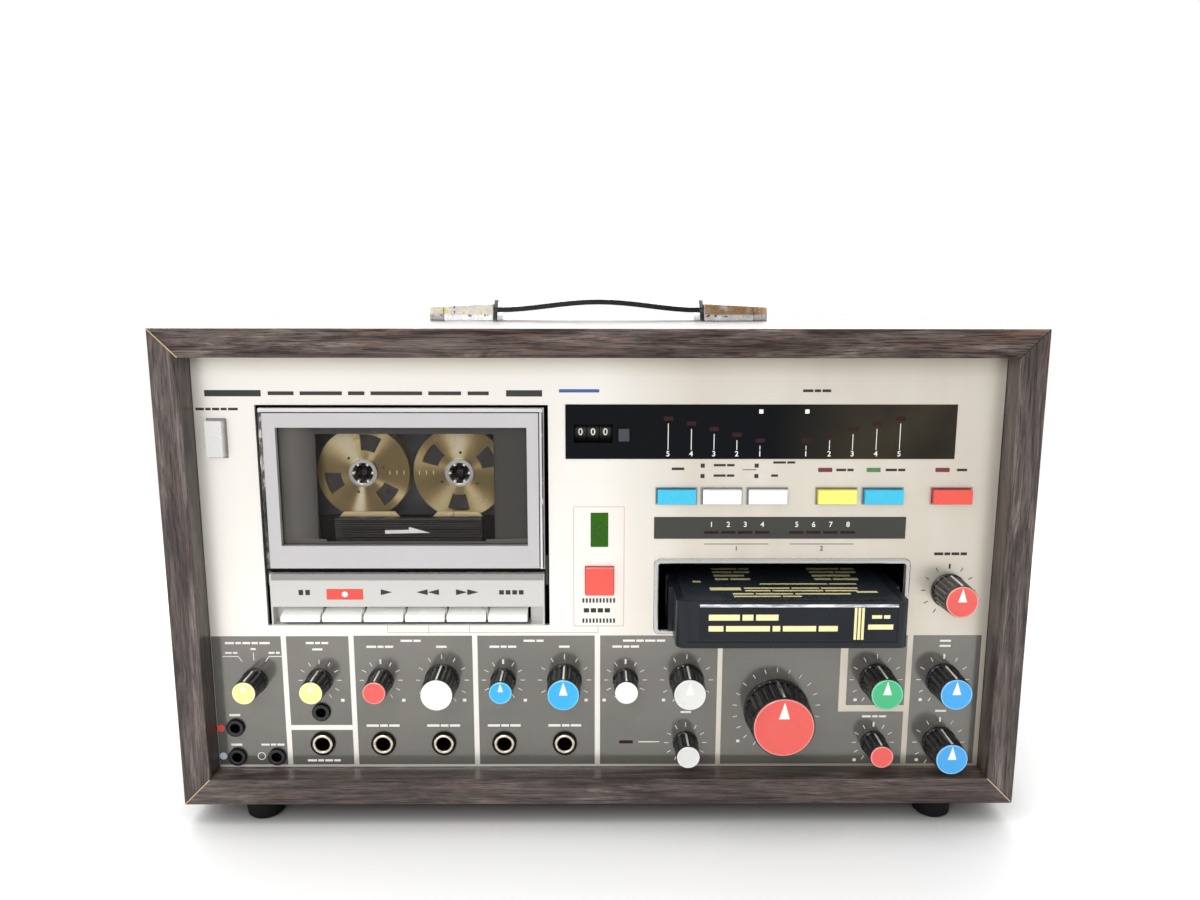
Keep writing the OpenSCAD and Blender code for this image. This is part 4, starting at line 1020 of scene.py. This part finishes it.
for name, cu, cv, su, sv, look in (
        ("top_left", 0, CAB_H, 1, -1, "edge"), ("bottom_left", 0, 0, 1, 1, "edge"),
        ("bottom_right", CAB_W, 0, -1, 1, "edge"), ("top_right", CAB_W, CAB_H, -1, -1, "gap")):
    b = Build().line((cu + su * 0.4, cv + sv * 0.4), (cu + su * 11.9, cv + sv * 11.9), 0.35, -11.03, -10.9)
    b.make("mitre_" + name, look, "rosewood_vinyl")

# ---------------------------------------------------------------- floor, light, camera

floor_mesh = bpy.data.meshes.new("floor")
bm = bmesh.new()
bmesh.ops.create_grid(bm, x_segments=8, y_segments=8, size=6)
bm.to_mesh(floor_mesh)
bm.free()
floor = placed("floor", floor_mesh)
n = Nodes("floor")
n.set(rough=0.6, spec=0.2)
# the floor darkens by ambient occlusion under and beside the case: a painted contact shadow
painted_contact_shadow = n.add("ShaderNodeAmbientOcclusion", samples=8)
painted_contact_shadow.inputs["Distance"].default_value = 0.045
n.set(color=n.mix(n.grey(painted_contact_shadow.outputs["AO"], 0.0, 1.0, 0.1, 0.8), (0.3, 0.295, 0.285), (0.975, 0.973, 0.97)))
far = n.math("SQRT", n.math("ADD", n.math("POWER", n.axis(0), 2.0), n.math("POWER", n.axis(1), 2.0)))
path = n.add("ShaderNodeLightPath")
seen = n.math("MAXIMUM", n.math("MAXIMUM", path.outputs["Is Camera Ray"], path.outputs["Is Glossy Ray"]),
              path.outputs["Is Transmission Ray"])
plain = n.add("ShaderNodeEmission")
plain.inputs["Color"].default_value = (1.0, 1.0, 1.0, 1.0)
plain.inputs["Strength"].default_value = 1.0
blend = n.add("ShaderNodeMixShader")
n.link(n.math("MULTIPLY", n.grey(far, 0.0, 1.0, 0.34, 0.75), seen), blend.inputs[0])
n.link(n.bsdf.outputs[0], blend.inputs[1])
n.link(plain.outputs[0], blend.inputs[2])
n.link(blend.outputs[0], n.out.inputs[0])
floor_mesh.materials.append(n.mat)

world = bpy.data.worlds.new("world")
scene.world = world
world.use_nodes = True
wt = world.node_tree
wt.nodes.clear()
WHITE = (1.0, 1.0, 1.0, 1.0)


def room(kind, values=None, links=None, **props):
    """Adds one node to the world's tree, with its values and links by socket."""
    n = wt.nodes.new("ShaderNode" + kind)
    for k, v in props.items():
        setattr(n, k, v)
    for k, v in (values or {}).items():
        n.inputs[k].default_value = v
    for k, v in (links or {}).items():
        wt.links.new(v, n.inputs[k])
    return n.outputs


# the room is lighter to the left, and darker to the right and where the onlooker stands
path = room("LightPath")
where = room("TexCoord")["Generated"]
split = room("SeparateXYZ", links={0: where})
side = room("MapRange", {"From Min": -0.7, "From Max": 0.7, "To Min": 0.98, "To Max": 0.56}, {"Value": split[0]})
facing = room("VectorMath", {1: (0.12, -0.99, 0.02)}, {0: where}, operation="DOT_PRODUCT")["Value"]
onlooker = room("MapRange", {"From Min": 0.9, "From Max": 0.995, "To Min": 1.0, "To Max": 0.74}, {"Value": facing},
                interpolation_type="SMOOTHSTEP")
level = room("Math", links={0: side[0], 1: onlooker[0]}, operation="MULTIPLY")
# the camera sees plain white, and so do metal and glass on the far side; nearer the onlooker they see the room
behind = room("MapRange", {"From Min": -0.35, "From Max": 0.0}, {"Value": split[1]})
shiny = room("Math", links={0: path["Is Glossy Ray"], 1: path["Is Transmission Ray"]}, operation="MAXIMUM")
part = room("Math", links={0: shiny[0], 1: behind[0]}, operation="MULTIPLY")
white = room("Math", links={0: path["Is Camera Ray"], 1: part[0]}, operation="MAXIMUM")
lit = room("Background", {0: WHITE}, {1: level[0]})
plain = room("Background", {0: WHITE, 1: 1.0})
mixed = room("MixShader", links={0: white[0], 1: lit[0], 2: plain[0]})
room("OutputWorld", links={0: mixed[0]})


def softbox(name, loc, target, size, power):
    light = bpy.data.lights.new(name, "AREA")
    light.shape = "RECTANGLE"
    light.size, light.size_y = size
    light.energy = power
    obj = placed(name, light)
    obj.location = loc
    obj.rotation_euler = (Vector(target) - Vector(loc)).to_track_quat("-Z", "Y").to_euler()


softbox("key", (-0.9, -1.5, 1.7), (0, 0, 0.1), (1.6, 1.2), 8)
softbox("front", (-0.16, -0.8, 0.46), (0, -0.1, 0.11), (0.3, 0.24), 1.5)
softbox("top", (0, 0.3, 2.0), (0, 0, 0.1), (2.4, 2.0), 22)
softbox("back", (0, 3.2, 1.0), (0, 0.1, 0.2), (5.0, 2.2), 130)

# the camera of the photograph, as it was fitted: focal length in its pixels, tilt in degrees, place in mm
PHOTO_W, FOCAL_PX = 1200, 902.80
TILT = (9.7358, 0.3276, 0.0704)
CAM_X, CAM_BEFORE, CAM_ABOVE = -2.047, 373.34, 225.607
cam_data = bpy.data.cameras.new("camera")
cam = placed("camera", cam_data)
cam_data.sensor_fit = "HORIZONTAL"
cam_data.sensor_width = 36.0
cam_data.lens = FOCAL_PX / PHOTO_W * cam_data.sensor_width
cam_data.clip_start = 0.01
pitch, yaw, roll = (radians(k) for k in TILT)
ahead = Vector((sin(yaw) * cos(pitch), cos(yaw) * cos(pitch), -sin(pitch)))
right = Vector((cos(yaw), -sin(yaw), 0))
up = right.cross(ahead)
axes = (cos(roll) * right + sin(roll) * up, cos(roll) * up - sin(roll) * right, -ahead)
place = Matrix.Translation((CAM_X / 1000, (FRONT_Y - CAM_BEFORE) / 1000, (FOOT + CAM_ABOVE) / 1000))
cam.matrix_world = place @ Matrix(axes).transposed().to_4x4()
scene.camera = cam
scene.view_settings.view_transform = "Standard"
